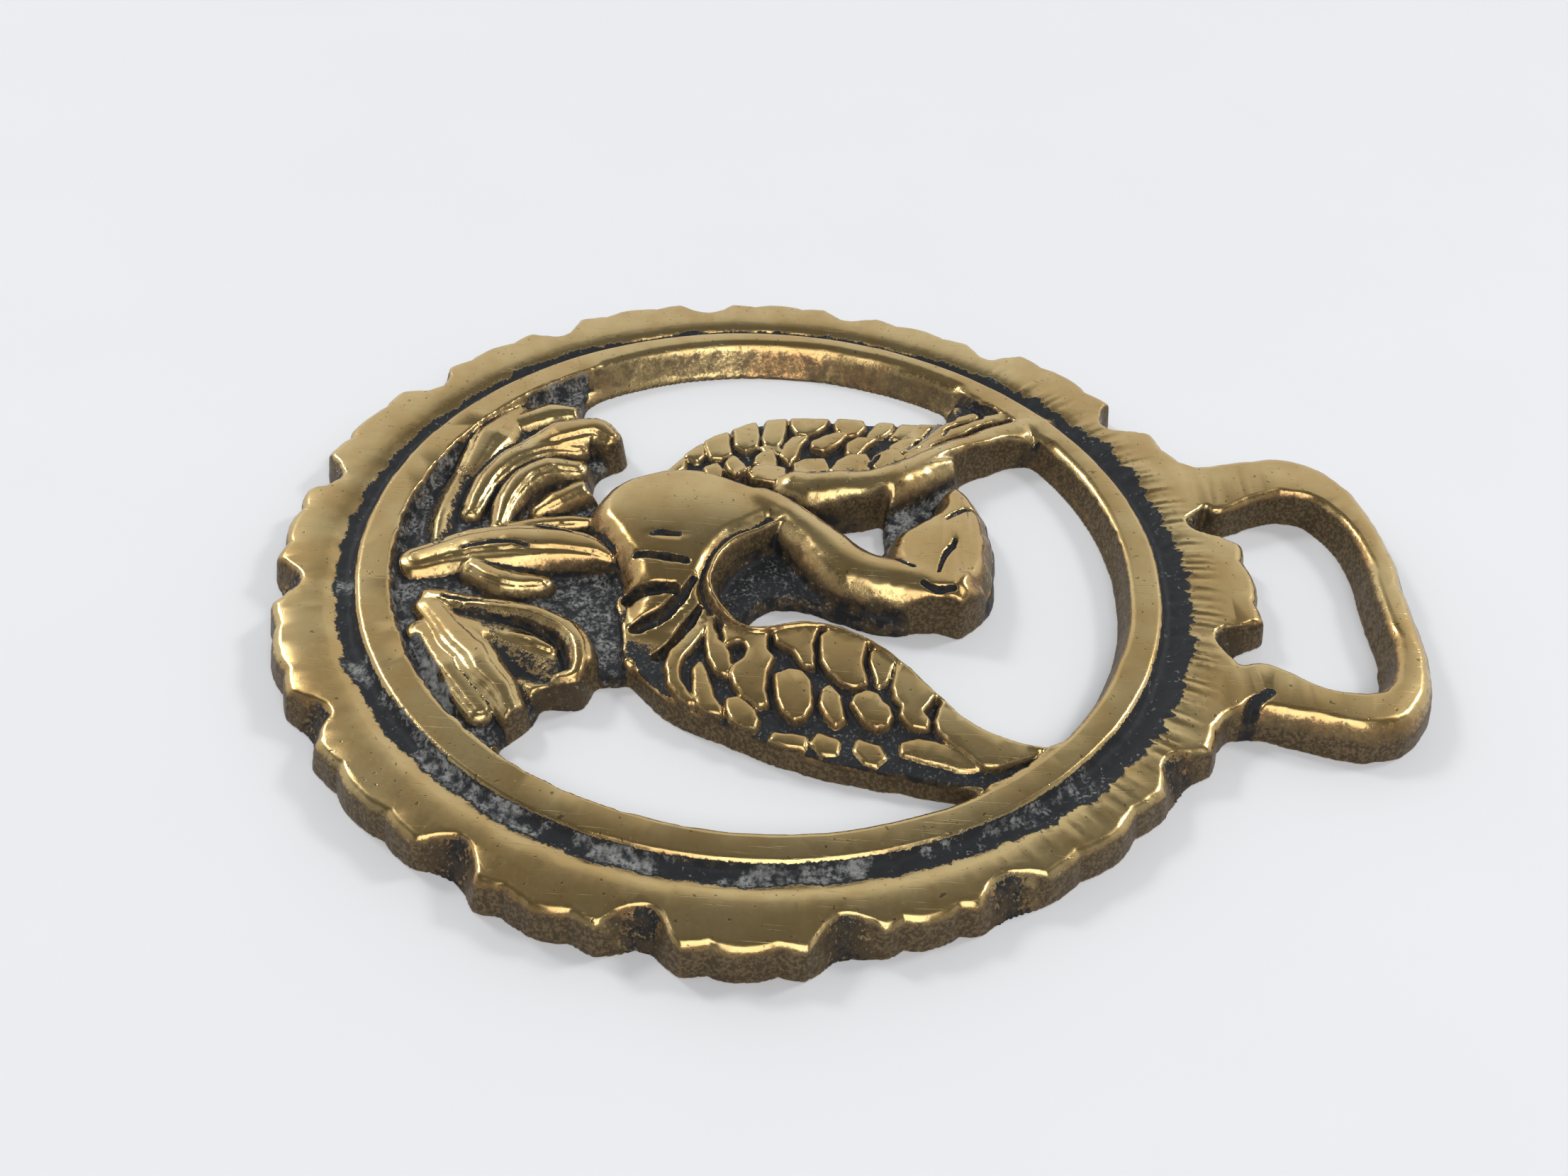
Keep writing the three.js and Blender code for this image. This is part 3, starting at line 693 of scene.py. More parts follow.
RIGHT_WING = Wing(
    outline=(
        (20.4, 24.2), (20.1, 20.9), (18.7, 18.3), (17.0, 16.2), (15.0, 14.5), (13.0, 12.9), (11.2, 11.2),
        (10.0, 9.5), (9.0, 7.6), (8.6, 5.6), (8.4, 4.0), (8.8, 2.2), (9.5, 0.6), (9.5, -1.0), (6.0, -5.0),
        (6.4, -11.4), (11.0, -10.7), (14.1, -10.2), (18.5, -6.4), (21.2, -1.0), (23.1, 4.6), (24.2, 9.8),
        (24.8, 15.6), (25.6, 19.0),
    ),
    base=1.9,
    ridges=(
        Stroke(
            ((21.0, 24.0), (20.5, 21.2), (19.0, 18.3), (17.3, 16.0), (15.2, 14.3), (13.2, 12.6),
            (11.5, 10.9),
             (10.3, 9.0), (9.5, 7.0), (9.1, 5.0), (9.2, 3.2), (9.9, 1.5), (10.4, 0.2), (9.9, -1.2),
             (8.8, -2.7)),
            (0.75,), (2.75, 2.75, 2.8, 2.9, 3.3), Section.FLAT,
        ),
        Stroke(((24.9, 17.5), (24.6, 13.5), (24.0, 9.0), (22.9, 4.2), (21.2, -0.8), (19.3, -4.6),
            (16.8, -8.0), (14.4, -9.7)),
               (0.35,), (2.0, 2.05, 2.1, 2.2), Section.ROUND),
    ),
    pads=(
        pad(2.75, ((20.4, 23.6), (21.6, 21.5), (22.2, 20.2), (22.8, 19.0), (22.9, 18.0), (22.2, 17.2),
            (21.4, 16.4),
                   (20.6, 15.4), (19.8, 14.8), (18.8, 14.6), (17.8, 14.8), (16.8, 15.3), (18.2, 17.6),
                   (19.8, 20.0),
                   (20.4, 22.0))),
        pad(2.35, ((21.3, 15.4), (22.3, 17.1), (22.9, 17.4), (23.1, 16.2), (22.7, 14.5), (22.4, 13.2),
            (22.2, 12.2),
                   (21.3, 12.2), (20.9, 13.2), (21.0, 14.5)), chalk=0.25),
        pad(2.7, ((16.2, 14.3), (17.3, 13.7), (18.0, 13.2), (18.8, 13.8), (19.7, 13.7), (19.6, 12.7),
            (18.6, 11.9),
                  (17.5, 12.0), (16.7, 11.4), (15.6, 11.3), (14.3, 11.5), (13.3, 11.7), (13.2, 12.3),
                  (14.3, 13.3),
                  (15.3, 14.2))),
        pad(2.45, ((12.4, 11.4), (13.5, 11.0), (14.8, 10.6), (15.2, 10.1), (14.0, 9.9), (12.8, 9.6),
            (12.0, 9.7),
                   (11.2, 10.2), (11.6, 10.9))),
        pad(2.7, ((16.6, 9.9), (17.4, 10.2), (18.0, 10.8), (18.9, 11.0), (19.7, 10.8), (19.9, 10.1),
            (19.4, 9.3),
                  (18.7, 8.8), (17.6, 8.1), (16.8, 8.4), (16.3, 9.1))),
        pad(2.75, ((11.0, 9.0), (12.2, 8.8), (13.3, 8.6), (14.6, 8.9), (15.4, 8.9), (15.7, 8.2),
            (15.4, 7.2), (14.4, 6.4),
                   (13.2, 5.9), (11.8, 5.7), (10.6, 5.6), (9.7, 6.4), (9.9, 7.6), (10.4, 8.5))),
        pad(2.55, ((15.9, 6.2), (17.0, 6.9), (18.2, 7.1), (19.4, 7.4), (19.9, 6.9), (19.0, 6.2),
            (17.8, 5.7), (16.4, 5.8))),
        pad(2.7, ((9.6, 5.1), (10.6, 4.8), (11.5, 4.6), (12.6, 4.9), (13.8, 4.9), (13.9, 4.3), (12.9, 3.8),
            (12.2, 3.4),
                  (11.7, 2.6), (11.4, 2.0), (10.2, 1.7), (9.5, 2.4), (9.3, 3.6))),
        pad(2.7, ((14.8, 4.0), (15.5, 4.5), (16.8, 4.6), (18.3, 4.8), (19.4, 4.4), (19.6, 3.8),
            (18.8, 3.0), (17.6, 2.5),
                  (16.4, 2.2), (15.3, 2.1), (14.7, 3.0))),
        pad(2.75, ((10.2, 1.1), (11.3, 0.9), (12.5, 1.0), (13.2, 1.6), (14.2, 1.4), (15.4, 1.2),
            (16.8, 1.1), (18.1, 1.4),
                   (18.4, 0.9), (17.7, 0.0), (16.6, -0.9), (15.4, -1.3), (14.5, -1.2), (13.8, -0.5),
                   (12.8, -0.3),
                   (11.9, -0.6), (11.7, -1.3), (12.2, -2.0), (10.6, -2.3), (9.6, -2.0))),
        pad(2.7, ((9.2, -3.2), (10.2, -3.3), (11.8, -2.9), (12.4, -2.3), (13.2, -1.9), (14.6, -1.6),
            (15.4, -1.8),
                  (14.9, -2.5), (13.8, -3.1), (12.4, -3.5), (11.0, -3.6), (9.6, -3.7))),
        pad(2.5, ((17.8, -0.7), (18.9, 0.3), (19.9, 0.9), (20.9, 0.8), (21.0, 0.0), (20.1, -0.9),
            (19.0, -1.4), (18.0, -1.4)),
            (0.0, 0.05)),
        pad(2.6, ((14.4, -3.9), (15.3, -3.4), (16.6, -3.0), (17.9, -2.7), (19.0, -2.1), (19.7, -2.0),
            (19.6, -2.8),
                  (18.7, -3.8), (17.5, -4.0), (16.0, -4.1), (15.0, -4.2))),
        pad(2.7, ((8.6, -3.7), (10.0, -3.8), (11.4, -4.3), (13.0, -4.9), (14.6, -5.6), (16.2, -5.6),
            (17.5, -4.9),
                  (18.6, -4.2), (19.0, -4.5), (18.1, -5.3), (16.9, -6.1), (15.4, -6.5), (13.8, -6.3),
                  (12.2, -5.4),
                  (10.6, -4.8), (9.0, -4.5))),
        pad(2.2, ((21.2, 8.8), (22.0, 8.6), (23.0, 9.2), (23.3, 10.0), (22.6, 10.6), (21.6, 10.2))),
        pad(2.2, ((21.0, 5.6), (21.8, 5.2), (22.5, 5.9), (22.4, 6.8), (21.5, 7.0))),
        pad(2.25, ((21.1, 2.5), (21.9, 2.3), (22.3, 3.4), (22.3, 4.4), (21.4, 4.4), (21.1, 3.6))),
    ),
    cuts=(),
)


@dataclass(frozen=True)
class Phoenix:
    """The bird: chest, collar, neck and a head turned back over its left wing."""

    outline: Points = (
        (-10.8, 16.9), (-8.8, 18.9), (-5.2, 20.0), (0.0, 20.2), (4.2, 19.2), (7.0, 17.0), (6.6, 14.9),
        (6.9, 13.2), (7.5, 11.4), (7.3, 9.0), (6.4, 7.0), (5.4, 4.6), (5.2, 2.4), (5.8, 0.6), (9.5, -2.6),
        (8.6, -9.5), (2.6, -13.4), (-3.4, -15.8), (-7.6, -12.8), (-9.2, -7.6), (-8.2, -2.2), (-5.8, 2.4),
        (-2.8, 5.8), (-0.8, 9.2), (-2.8, 11.0), (-5.3, 13.8), (-8.8, 15.2),
    )
    webs: tuple[Patch, ...] = (
        Patch(((-14.0, 16.6), (-9.2, 16.6), (-3.8, 13.6), (-2.0, 11.0), (-6.4, 10.5),
            (-10.0, 10.2)), 1.2, 0.4,
              floor=0.9, tarnish=0.8, chalk=0.6),
        Patch(((1.0, -10.5), (13.6, -9.0), (15.6, -11.4), (14.0, -19.0), (4.0, -24.0), (-5.0, -20.0),
            (-5.4, -14.2)),
              1.3, 0.4, floor=0.9, tarnish=0.8, chalk=0.5),
    )
    chest: Patch = Patch(
        ((-4.6, 3.4), (-7.5, -1.0), (-9.2, -6.0), (-8.7, -10.5), (-5.8, -14.3), (-1.5, -15.4), (2.0, -13.5),
         (4.5, -11.7), (7.4, -10.6), (10.4, -10.4), (12.0, -9.9), (12.2, -7.0), (11.8, -4.2), (10.2, -1.4),
         (9.0, -2.4), (6.5, -3.7), (3.5, -3.2), (1.2, -1.8), (-0.8, 0.3), (-2.4, 2.4)),
        4.68, 2.2, (0.0125, 0.0075), (-3.2, -6.0), floor=1.7,
    )
    collar: Stroke = Stroke(
        ((10.2, -1.0), (9.1, -2.6), (6.6, -3.9), (3.6, -3.7), (1.0, -2.2), (-0.9, 0.0), (-2.4, 2.0)),
        (0.8, 1.0, 1.1, 1.2, 1.2, 1.1, 1.0), (3.0, 3.6, 4.1, 4.3, 4.4, 4.4, 4.3), Section.SOFT,
    )
    neck: Stroke = Stroke(
        ((5.0, 16.0), (3.9, 12.4), (3.5, 9.4), (2.2, 6.8), (-0.3, 4.6), (-2.9, 2.2), (-4.6, -0.6)),
        (3.1, 3.2, 3.2, 3.1, 2.8, 2.6, 2.6), (4.2, 4.3, 4.4, 4.5, 4.6, 4.7, 4.6), Section.ROUND,
    )
    head: Patch = Patch(
        ((-10.2, 16.8), (-8.5, 18.6), (-5.0, 19.6), (0.0, 19.8), (3.8, 18.9), (6.2, 17.2), (6.5, 15.6),
        (6.2, 13.2),
         (4.0, 11.4), (1.6, 10.6), (-0.6, 10.5), (-2.8, 11.3), (-5.2, 13.8), (-6.8, 14.9), (-8.8, 15.3)),
        4.25, 1.7, (0.0, 0.03), (2.0, 15.8), (0.05, 0.0), floor=1.4,
    )
    creases: tuple[Stroke, ...] = (
        crease(((-5.9, 18.9), (-5.4, 17.0), (-4.0, 15.6)), (0.2, 0.3, 0.2), (0.3,), 0.6),
        crease(((-1.0, 16.2), (0.1, 15.9), (1.5, 15.3), (3.4, 14.7)), (0.25, 0.35, 0.3, 0.2), (0.45,), 0.7),
        crease(((0.2, 10.6), (2.0, 11.4), (3.0, 12.6)), (0.3, 0.4, 0.3), (0.45,), 1.0),
        Stroke(((4.2, 17.0), (5.2, 16.8)), (1.1, 1.0), (0.35,), Section.SOFT),
        crease(((5.0, 13.4), (5.6, 14.6), (5.4, 16.0)), (0.3, 0.4, 0.3), (0.4,), 1.0),
    )
    slits: tuple[Stroke, ...] = (
        crease(((1.3, -7.0), (1.1, -8.6), (1.3, -9.4)), (0.3, 0.4, 0.3), (0.35, 0.6, 0.3), 1.0),
        crease(((4.2, -6.2), (3.9, -8.0), (3.6, -10.4)), (0.4, 0.5, 0.35), (0.5, 0.8, 0.5), 1.0),
        Stroke(((7.0, -6.9), (7.0, -8.6), (7.3, -10.4)), (0.6, 0.7, 0.7), (-0.9, -1.1, -1.1),
            Section.FLAT, tarnish=1.0),
        Stroke(((5.9, -5.3), (7.6, -6.1), (9.3, -7.4), (10.5, -9.4)), (0.3, 0.55, 0.7, 0.7),
            (-0.4, -0.9, -1.1), Section.FLAT,
               tarnish=1.0),
        Stroke(((8.6, -4.5), (10.4, -5.3), (12.2, -6.4), (13.7, -7.4)), (0.3, 0.6, 0.65, 0.6),
            (-0.6, -1.0, -1.1), Section.FLAT,
               tarnish=1.0),
    )

    def work(self, relief: Relief) -> None:
        """Adds the bird to the relief."""
        relief.join(self.outline, draft=0.12, blend=0.6)
        relief.raise_patch(Patch(self.outline, 1.6, 0.4, floor=1.0, tarnish=1.0, chalk=0.4))
        relief.raise_ridge(self.neck, floor=1.7, blend=0.3)
        relief.raise_patch(self.chest, blend=0.25)
        relief.raise_ridge(self.collar, floor=1.7, blend=0.3)
        relief.raise_patch(self.head, blend=0.3)
        for stroke in self.creases + self.slits:
            relief.lift(stroke)

    def web(self, relief: Relief) -> None:
        """Adds the thin webs of metal that fill the ground behind the bird."""
        for web in self.webs:
            relief.join(web.outline, draft=0.1, blend=0.8)
            relief.raise_patch(web)


@dataclass(frozen=True)
class Flames:
    """The bed of flames that the bird rises from."""

    bed: Points = (
        (-26.0, -19.6), (-19.8, -18.7), (-17.6, -18.2), (-16.8, -15.8), (-14.6, -13.9), (-12.6, -13.6),
        (-10.0, -16.0), (-5.0, -15.8), (4.0, -18.0), (10.4, -14.6), (14.2, -12.1), (18.0, -12.5),
        (18.6, -15.4),
        (20.8, -16.2), (22.4, -17.6), (26.4, -21.4), (21.6, -26.0), (10.0, -31.0), (-10.0, -31.0),
        (-21.6, -26.0),
    )
    tongues: tuple[Stroke, ...] = (
        Stroke(((4.4, -28.6), (2.9, -24.6), (2.4, -21.0), (2.0, -17.6), (2.4, -14.4), (2.9, -12.8)),
               (1.7, 2.4, 2.6, 2.3, 1.7, 0.8), (2.5, 3.3, 3.7, 3.7, 3.6, 3.1), Section.LEAF),
        Stroke(((5.2, -23.6), (6.6, -20.8), (6.4, -18.0)), (1.2, 1.5, 1.0), (3.0, 3.2, 2.8), Section.LEAF),
        Stroke(((1.6, -26.4), (-0.4, -21.4), (-1.5, -17.6), (-2.0, -14.6)), (0.9, 1.1, 1.0, 0.8),
            (2.2, 2.6, 2.8, 2.7),
               Section.LEAF),
        Stroke(((8.6, -26.6), (10.1, -21.6), (10.6, -18.0), (12.0, -15.0), (14.2, -13.4), (16.7, -13.1),
            (17.3, -14.3)),
               (0.9, 1.0, 1.1, 1.1, 1.1, 1.0, 0.8), (2.3, 3.1, 3.4, 3.5, 3.5, 3.3, 3.0), Section.LEAF, 0.1),
        Stroke(((11.4, -24.4), (13.0, -20.6), (14.2, -17.2), (16.0, -15.2)), (2.0, 2.8, 2.7, 1.9),
            (2.4, 2.9, 2.8, 2.6),
               Section.SOFT, tarnish=0.5),
        Stroke(((13.2, -19.2), (13.8, -17.0), (14.5, -15.6)), (0.6, 0.9, 0.7), (2.9, 3.05, 2.9),
            Section.LEAF),
        Stroke(((17.4, -13.2), (18.4, -15.2), (17.8, -17.4)), (0.9, 1.0, 0.7), (2.8, 2.5, 2.2),
            Section.LEAF, tarnish=0.4),
        Stroke(((9.6, -26.4), (13.2, -23.4), (16.4, -20.7), (19.0, -18.7), (21.9, -16.6)),
               (1.2, 1.6, 1.7, 1.5, 0.8), (2.3, 3.0, 3.3, 3.2, 2.8), Section.LEAF),
        Stroke(((12.6, -26.4), (16.8, -23.2), (20.8, -19.8)), (1.2, 1.5, 1.1), (2.3, 2.7, 2.5),
            Section.LEAF),
        Stroke(((-10.6, -23.2), (-13.1, -19.8), (-14.1, -16.8), (-13.1, -14.9)), (1.5, 2.1, 2.1, 1.3),
            (3.0, 3.9, 4.2, 3.8),
               Section.LEAF),
        Stroke(((-16.0, -25.2), (-18.0, -21.4), (-18.5, -18.8)), (1.3, 1.5, 0.8), (2.3, 2.7, 2.4),
            Section.LEAF),
        Stroke(((-11.9, -17.8), (-11.6, -20.6), (-9.9, -23.3), (-6.4, -25.1), (-2.4, -25.6)),
            (1.0, 1.4, 1.5, 1.4, 0.9),
               (3.0, 3.4, 3.4, 3.1, 2.5), Section.LEAF),
        Stroke(((-9.0, -17.4), (-8.4, -19.9), (-6.3, -21.7), (-3.5, -22.6), (-0.6, -22.9)),
            (1.2, 1.5, 1.5, 1.3, 0.8),
               (3.2, 3.8, 3.8, 3.4, 2.8), Section.LEAF),
        Stroke(((-6.2, -16.6), (-4.4, -18.4), (-3.0, -19.8)), (1.3, 1.3, 0.8), (3.1, 3.1, 2.6),
            Section.LEAF),
        Stroke(((-18.2, -24.8), (-13.4, -26.2), (-8.2, -27.3)), (1.3, 2.0, 1.2), (2.4, 2.9, 2.4),
            Section.LEAF),
        Stroke(((-7.4, -27.8), (-2.0, -28.0), (2.0, -27.6)), (1.0, 1.2, 0.8), (2.2, 2.5, 2.2),
            Section.SOFT, tarnish=0.5),
    )
    cuts: tuple[Stroke, ...] = (
        crease(((0.7, -16.4), (0.5, -17.8), (0.3, -19.2)), (0.25, 0.35, 0.2), (0.5,), 1.0),
        crease(((3.2, -19.6), (3.0, -22.4), (3.5, -25.0)), (0.2, 0.3, 0.2), (0.3,), 0.8),
        crease(((10.0, -20.0), (9.6, -23.0), (9.0, -25.4)), (0.2, 0.3, 0.2), (0.3,), 0.8),
        crease(((14.0, -26.4), (17.4, -24.3), (20.8, -22.0)), (0.6, 0.7, 0.5), (0.6,), 0.6, 0.9),
    )

    def work(self, relief: Relief) -> None:
        """Adds the flames to the relief."""
        relief.join(self.bed, draft=0.12, blend=0.8)
        relief.raise_patch(Patch(self.bed, 1.5, 0.5, floor=1.0, tarnish=0.9, chalk=0.5), blend=0.1)
        for tongue in self.tongues:
            wide = tuple(1.22 * half for half in tongue.width)
            relief.raise_ridge(replace(tongue, width=wide), floor=1.5, blend=0.12)
        for cut in self.cuts:
            relief.lift(cut)


class Skin:
    """Draws one closed skin round the metal that a relief describes."""

    CORNERS = np.array([(i, j, k) for i in (0, 1) for j in (0, 1) for k in (0, 1)])

    def __init__(self, relief: Relief) -> None:
        """Keeps the relief and its slopes."""
        self.relief = relief
        self.maps = {"top": relief.top, "outline": relief.outline, "draft": relief.draft}
        for name in ("top", "outline"):
            slope_x, slope_y = np.gradient(self.maps[name], PLAN_STEP)
            self.maps[name + "_x"], self.maps[name + "_y"] = slope_x, slope_y

    @staticmethod
    def sample(values: np.ndarray, points: np.ndarray) -> np.ndarray:
        """Returns the values of a map at points in plan, mixed between its cells."""
        place = (points[:, :2] - np.array(PLAN_LOW)) / PLAN_STEP
        place = np.clip(place, 0, np.array(values.shape) - 1.001)
        i, j = place.astype(int).T
        u, v = (place - place.astype(int)).T
        low = values[i, j] * (1 - u) + values[i + 1, j] * u
        high = values[i, j + 1] * (1 - u) + values[i + 1, j + 1] * u
        return low * (1 - v) + high * v

    @staticmethod
    def merge(over: np.ndarray, beside: np.ndarray, under: np.ndarray) -> tuple[np.ndarray, ...]:
        """Joins the three distances to the top, the wall and the back with worn corners.

        Returns:
            The distance to the skin, and the shares of the top, wall and back in its direction.
        """
        upper = np.clip(0.5 + 0.5 * (over - beside) / UPPER_CORNER, 0, 1)
        body = smooth_max(over, beside, UPPER_CORNER)
        lower = np.clip(0.5 + 0.5 * (under - body) / LOWER_CORNER, 0, 1)
        skin = smooth_max(under, body, LOWER_CORNER)
        return skin, upper * (1 - lower), (1 - upper) * (1 - lower), lower

    def distance(self, z: np.ndarray, maps: dict[str, np.ndarray]) -> tuple[np.ndarray, ...]:
        """Returns the distance to the skin and its shares at a height over sampled maps."""
        steep = np.sqrt(1 + maps["top_x"] ** 2 + maps["top_y"] ** 2)
        over = (z - maps["top"]) / steep
        beside = (maps["outline"] + maps["draft"] * z) / np.sqrt(1 + maps["draft"] ** 2)
        return self.merge(over, beside, -z)

    def settle(self, points: np.ndarray, steps: int = 3) -> tuple[np.ndarray, np.ndarray]:
        """Moves points onto the skin.

        Args:
            points: Points close to the skin, of shape (n, 3).
            steps: How often to correct them.

        Returns:
            The moved points and the directions that face out of the metal there.
        """
        points = points.copy()
        for step in range(steps + 1):
            maps = {name: self.sample(values, points) for name, values in self.maps.items()}
            gap, top, wall, back = self.distance(points[:, 2], maps)
            steep = np.sqrt(1 + maps["top_x"] ** 2 + maps["top_y"] ** 2)
            lean = np.sqrt(1 + maps["draft"] ** 2)
            way = np.stack(
                [
                    -top * maps["top_x"] / steep + wall * maps["outline_x"] / lean,
                    -top * maps["top_y"] / steep + wall * maps["outline_y"] / lean,
                    top / steep + wall * maps["draft"] / lean - back,
                ],
                axis=1,
            )
            size = np.linalg.norm(way, axis=1, keepdims=True)
            if step < steps:
                move = np.clip(gap[:, None] / np.maximum(size, 0.2), -CELL, CELL)
                points -= move * way / np.maximum(size, 1e-6)
        return points, way / np.maximum(size, 1e-6)

    def draw(self) -> tuple[np.ndarray, np.ndarray]:
        """Draws the skin on a grid of small cells.

        Returns:
            Its points and its four-sided faces, turned outwards.
        """
        every = int(round(CELL / PLAN_STEP))
        maps = {name: values[::every, ::every] for name, values in self.maps.items()}
        heights = np.arange(DEPTH[0], DEPTH[1], CELL)
        gaps = np.stack([self.distance(np.full(maps["top"].shape, z), maps)[0] for z in heights], axis=2)
        gaps = gaps.astype(np.float32)
        inside = gaps < 0
        cells = tuple(n - 1 for n in gaps.shape)
        count = np.zeros(cells, np.int8)
        for i, j, k in self.CORNERS:
            count += inside[i : i + cells[0], j : j + cells[1], k : k + cells[2]]
        active = np.argwhere((count > 0) & (count < 8))
        number = np.full(cells, -1, np.int64)
        number[tuple(active.T)] = np.arange(len(active))
        total, crossings = np.zeros((len(active), 3)), np.zeros(len(active))
        for a in range(8):
            for axis in range(3):
                start, step = self.CORNERS[a], np.eye(3, dtype=int)[axis]
                if start[axis]:
                    continue
                here, there = gaps[tuple((active + start).T)], gaps[tuple((active + start + step).T)]
                cut = (here < 0) != (there < 0)
                share = np.where(cut, here / np.where(cut, here - there, 1), 0)
                total += cut[:, None] * (start + share[:, None] * step)
                crossings += cut
        points = active + total / crossings[:, None]
        origin = np.array([*PLAN_LOW, DEPTH[0]])
        points = points * CELL + origin
        faces = []
        for axis in range(3):
            one, two = (axis + 1) % 3, (axis + 2) % 3
            ahead = np.take(inside, range(1, inside.shape[axis]), axis)
            behind = np.take(inside, range(inside.shape[axis] - 1), axis)
            for changed, flip in ((behind & ~ahead, False), (~behind & ahead, True)):
                at = np.argwhere(changed)
                ring = []
                for p, q in ((1, 1), (0, 1), (0, 0), (1, 0)):
                    cell = at.copy()
                    cell[:, one] -= p
                    cell[:, two] -= q
                    ring.append(number[tuple(cell.T)])
                ring = np.stack(ring, axis=1)
                faces.append(ring[:, ::-1] if flip else ring)
        return points, np.vstack(faces)


class NodeTree:
    """Small helper that adds nodes and links to a node tree."""

    def __init__(self, tree: bpy.types.NodeTree) -> None:
        """Keeps the tree."""
        self.tree = tree

    def add(self, kind: str, **settings: object) -> bpy.types.Node:
        """Adds a node and sets its properties.

        Args:
            kind: Blender's name for the node.
            settings: Properties of the node.

        Returns:
            The node.
        """
        node = self.tree.nodes.new(kind)
        for name, value in settings.items():
            setattr(node, name, value)
        return node

    def feed(self, socket: Socket, value: object) -> None:
        """Sets an input to a value, or links it to another node's output."""
        if isinstance(value, Socket):
            self.tree.links.new(value, socket)
        else:
            socket.default_value = value

    def math(self, operation: str, *values: object, clamp: bool = False) -> Socket:
        """Adds a Math node and returns its output."""
        node = self.add("ShaderNodeMath", operation=operation, use_clamp=clamp)
        for socket, value in zip(node.inputs, values):
            self.feed(socket, value)
        return node.outputs[0]

    def plus(self, a: object, b: object) -> Socket:
        """Returns a + b."""
        return self.math("ADD", a, b)

    def less(self, a: object, b: object) -> Socket:
        """Returns a - b."""
        return self.math("SUBTRACT", a, b)

    def times(self, a: object, b: object) -> Socket:
        """Returns a * b."""
        return self.math("MULTIPLY", a, b)

    def most(self, a: object, b: object) -> Socket:
        """Returns the larger of a and b."""
        return self.math("MAXIMUM", a, b)

    def ramp(
        self, value: object, low: float, high: float, to_low: float = 0.0, to_high: float = 1.0
    ) -> Socket:
        """Maps a range of values smoothly onto another one and returns the output."""
        node = self.add("ShaderNodeMapRange", interpolation_type="SMOOTHSTEP")
        for socket, given in zip(node.inputs, (value, low, high, to_low, to_high)):
            self.feed(socket, given)
        return node.outputs[0]

    def noise(self, place: object, scale: float, detail: float = 2.0, rough: float = 0.5) -> Socket:
        """Adds a Noise Texture and returns its value."""
        node = self.add("ShaderNodeTexNoise")
        self.feed(node.inputs["Vector"], place)
        for name, given in (("Scale", scale), ("Detail", detail), ("Roughness", rough)):
            self.feed(node.inputs[name], given)
        return node.outputs[0]


class CastSkin:
    """Geometry Nodes that give the metal the grainy skin left by the sand mould."""

    INPUTS = (
        ("Grain Size", 0.9 * MM),
        ("Grain Depth", 0.05 * MM),
        ("Pit Size", 0.45 * MM),
        ("Pit Depth", 0.05 * MM),
    )

    def __init__(self, finish: bpy.types.Material) -> None:
        """Builds the tree, with the finish that it sets."""
        tree = bpy.data.node_groups.new("cast_skin", "GeometryNodeTree")
        side = tree.interface
        side.new_socket("Geometry", in_out="INPUT", socket_type="NodeSocketGeometry")
        self.keys = {}
        for name, value in self.INPUTS:
            socket = side.new_socket(name, in_out="INPUT", socket_type="NodeSocketFloat")
            socket.default_value = value
            self.keys[name] = socket.identifier
        socket = side.new_socket("Material", in_out="INPUT", socket_type="NodeSocketMaterial")
        self.keys["Material"] = socket.identifier
        side.new_socket("Geometry", in_out="OUTPUT", socket_type="NodeSocketGeometry")
        n = NodeTree(tree)
        start, end = n.add("NodeGroupInput"), n.add("NodeGroupOutput")
        position, normal = n.add("GeometryNodeInputPosition"), n.add("GeometryNodeInputNormal")
        rough = n.add("GeometryNodeInputNamedAttribute", data_type="FLOAT")
        rough.inputs["Name"].default_value = "rough"
        grain = n.noise(position.outputs[0], n.math("DIVIDE", 1.0, start.outputs["Grain Size"]), 2.0, 0.6)
        pits = n.noise(position.outputs[0], n.math("DIVIDE", 1.0, start.outputs["Pit Size"]), 1.0, 0.5)
        low = n.times(n.less(grain, 0.5), start.outputs["Grain Depth"])
        deep = n.times(n.ramp(pits, 0.6, 0.8), start.outputs["Pit Depth"])
        amount = n.times(n.less(low, deep), rough.outputs["Attribute"])
        offset = n.add("ShaderNodeVectorMath", operation="SCALE")
        n.feed(offset.inputs[0], normal.outputs[0])
        n.feed(offset.inputs["Scale"], amount)
        move = n.add("GeometryNodeSetPosition")
        n.feed(move.inputs["Geometry"], start.outputs["Geometry"])
        n.feed(move.inputs["Offset"], offset.outputs[0])
        real = n.add("GeometryNodeRealizeInstances")
        n.feed(real.inputs["Geometry"], move.outputs[0])
        dress = n.add("GeometryNodeSetMaterial")
        n.feed(dress.inputs["Geometry"], real.outputs[0])
        n.feed(dress.inputs["Material"], start.outputs["Material"])
        n.feed(end.inputs[0], dress.outputs[0])
        self.tree, self.finish = tree, finish

    def work(self, piece: bpy.types.Object) -> None:
        """Puts the tree on a piece and turns the result into a plain mesh."""
        modifier = piece.modifiers.new("cast_skin", "NODES")
        modifier.node_group = self.tree
        for name, value in self.INPUTS:
            modifier[self.keys[name]] = value
        modifier[self.keys["Material"]] = self.finish
        apply_modifiers(piece)


def apply_modifiers(piece: bpy.types.Object) -> None:
    """Replaces a piece's mesh by the result of its modifiers, and removes them."""
    graph = bpy.context.evaluated_depsgraph_get()
    mesh = bpy.data.meshes.new_from_object(piece.evaluated_get(graph))
    old = piece.data
    piece.modifiers.clear()
    piece.data = mesh
    mesh.name = piece.name
    bpy.data.meshes.remove(old)


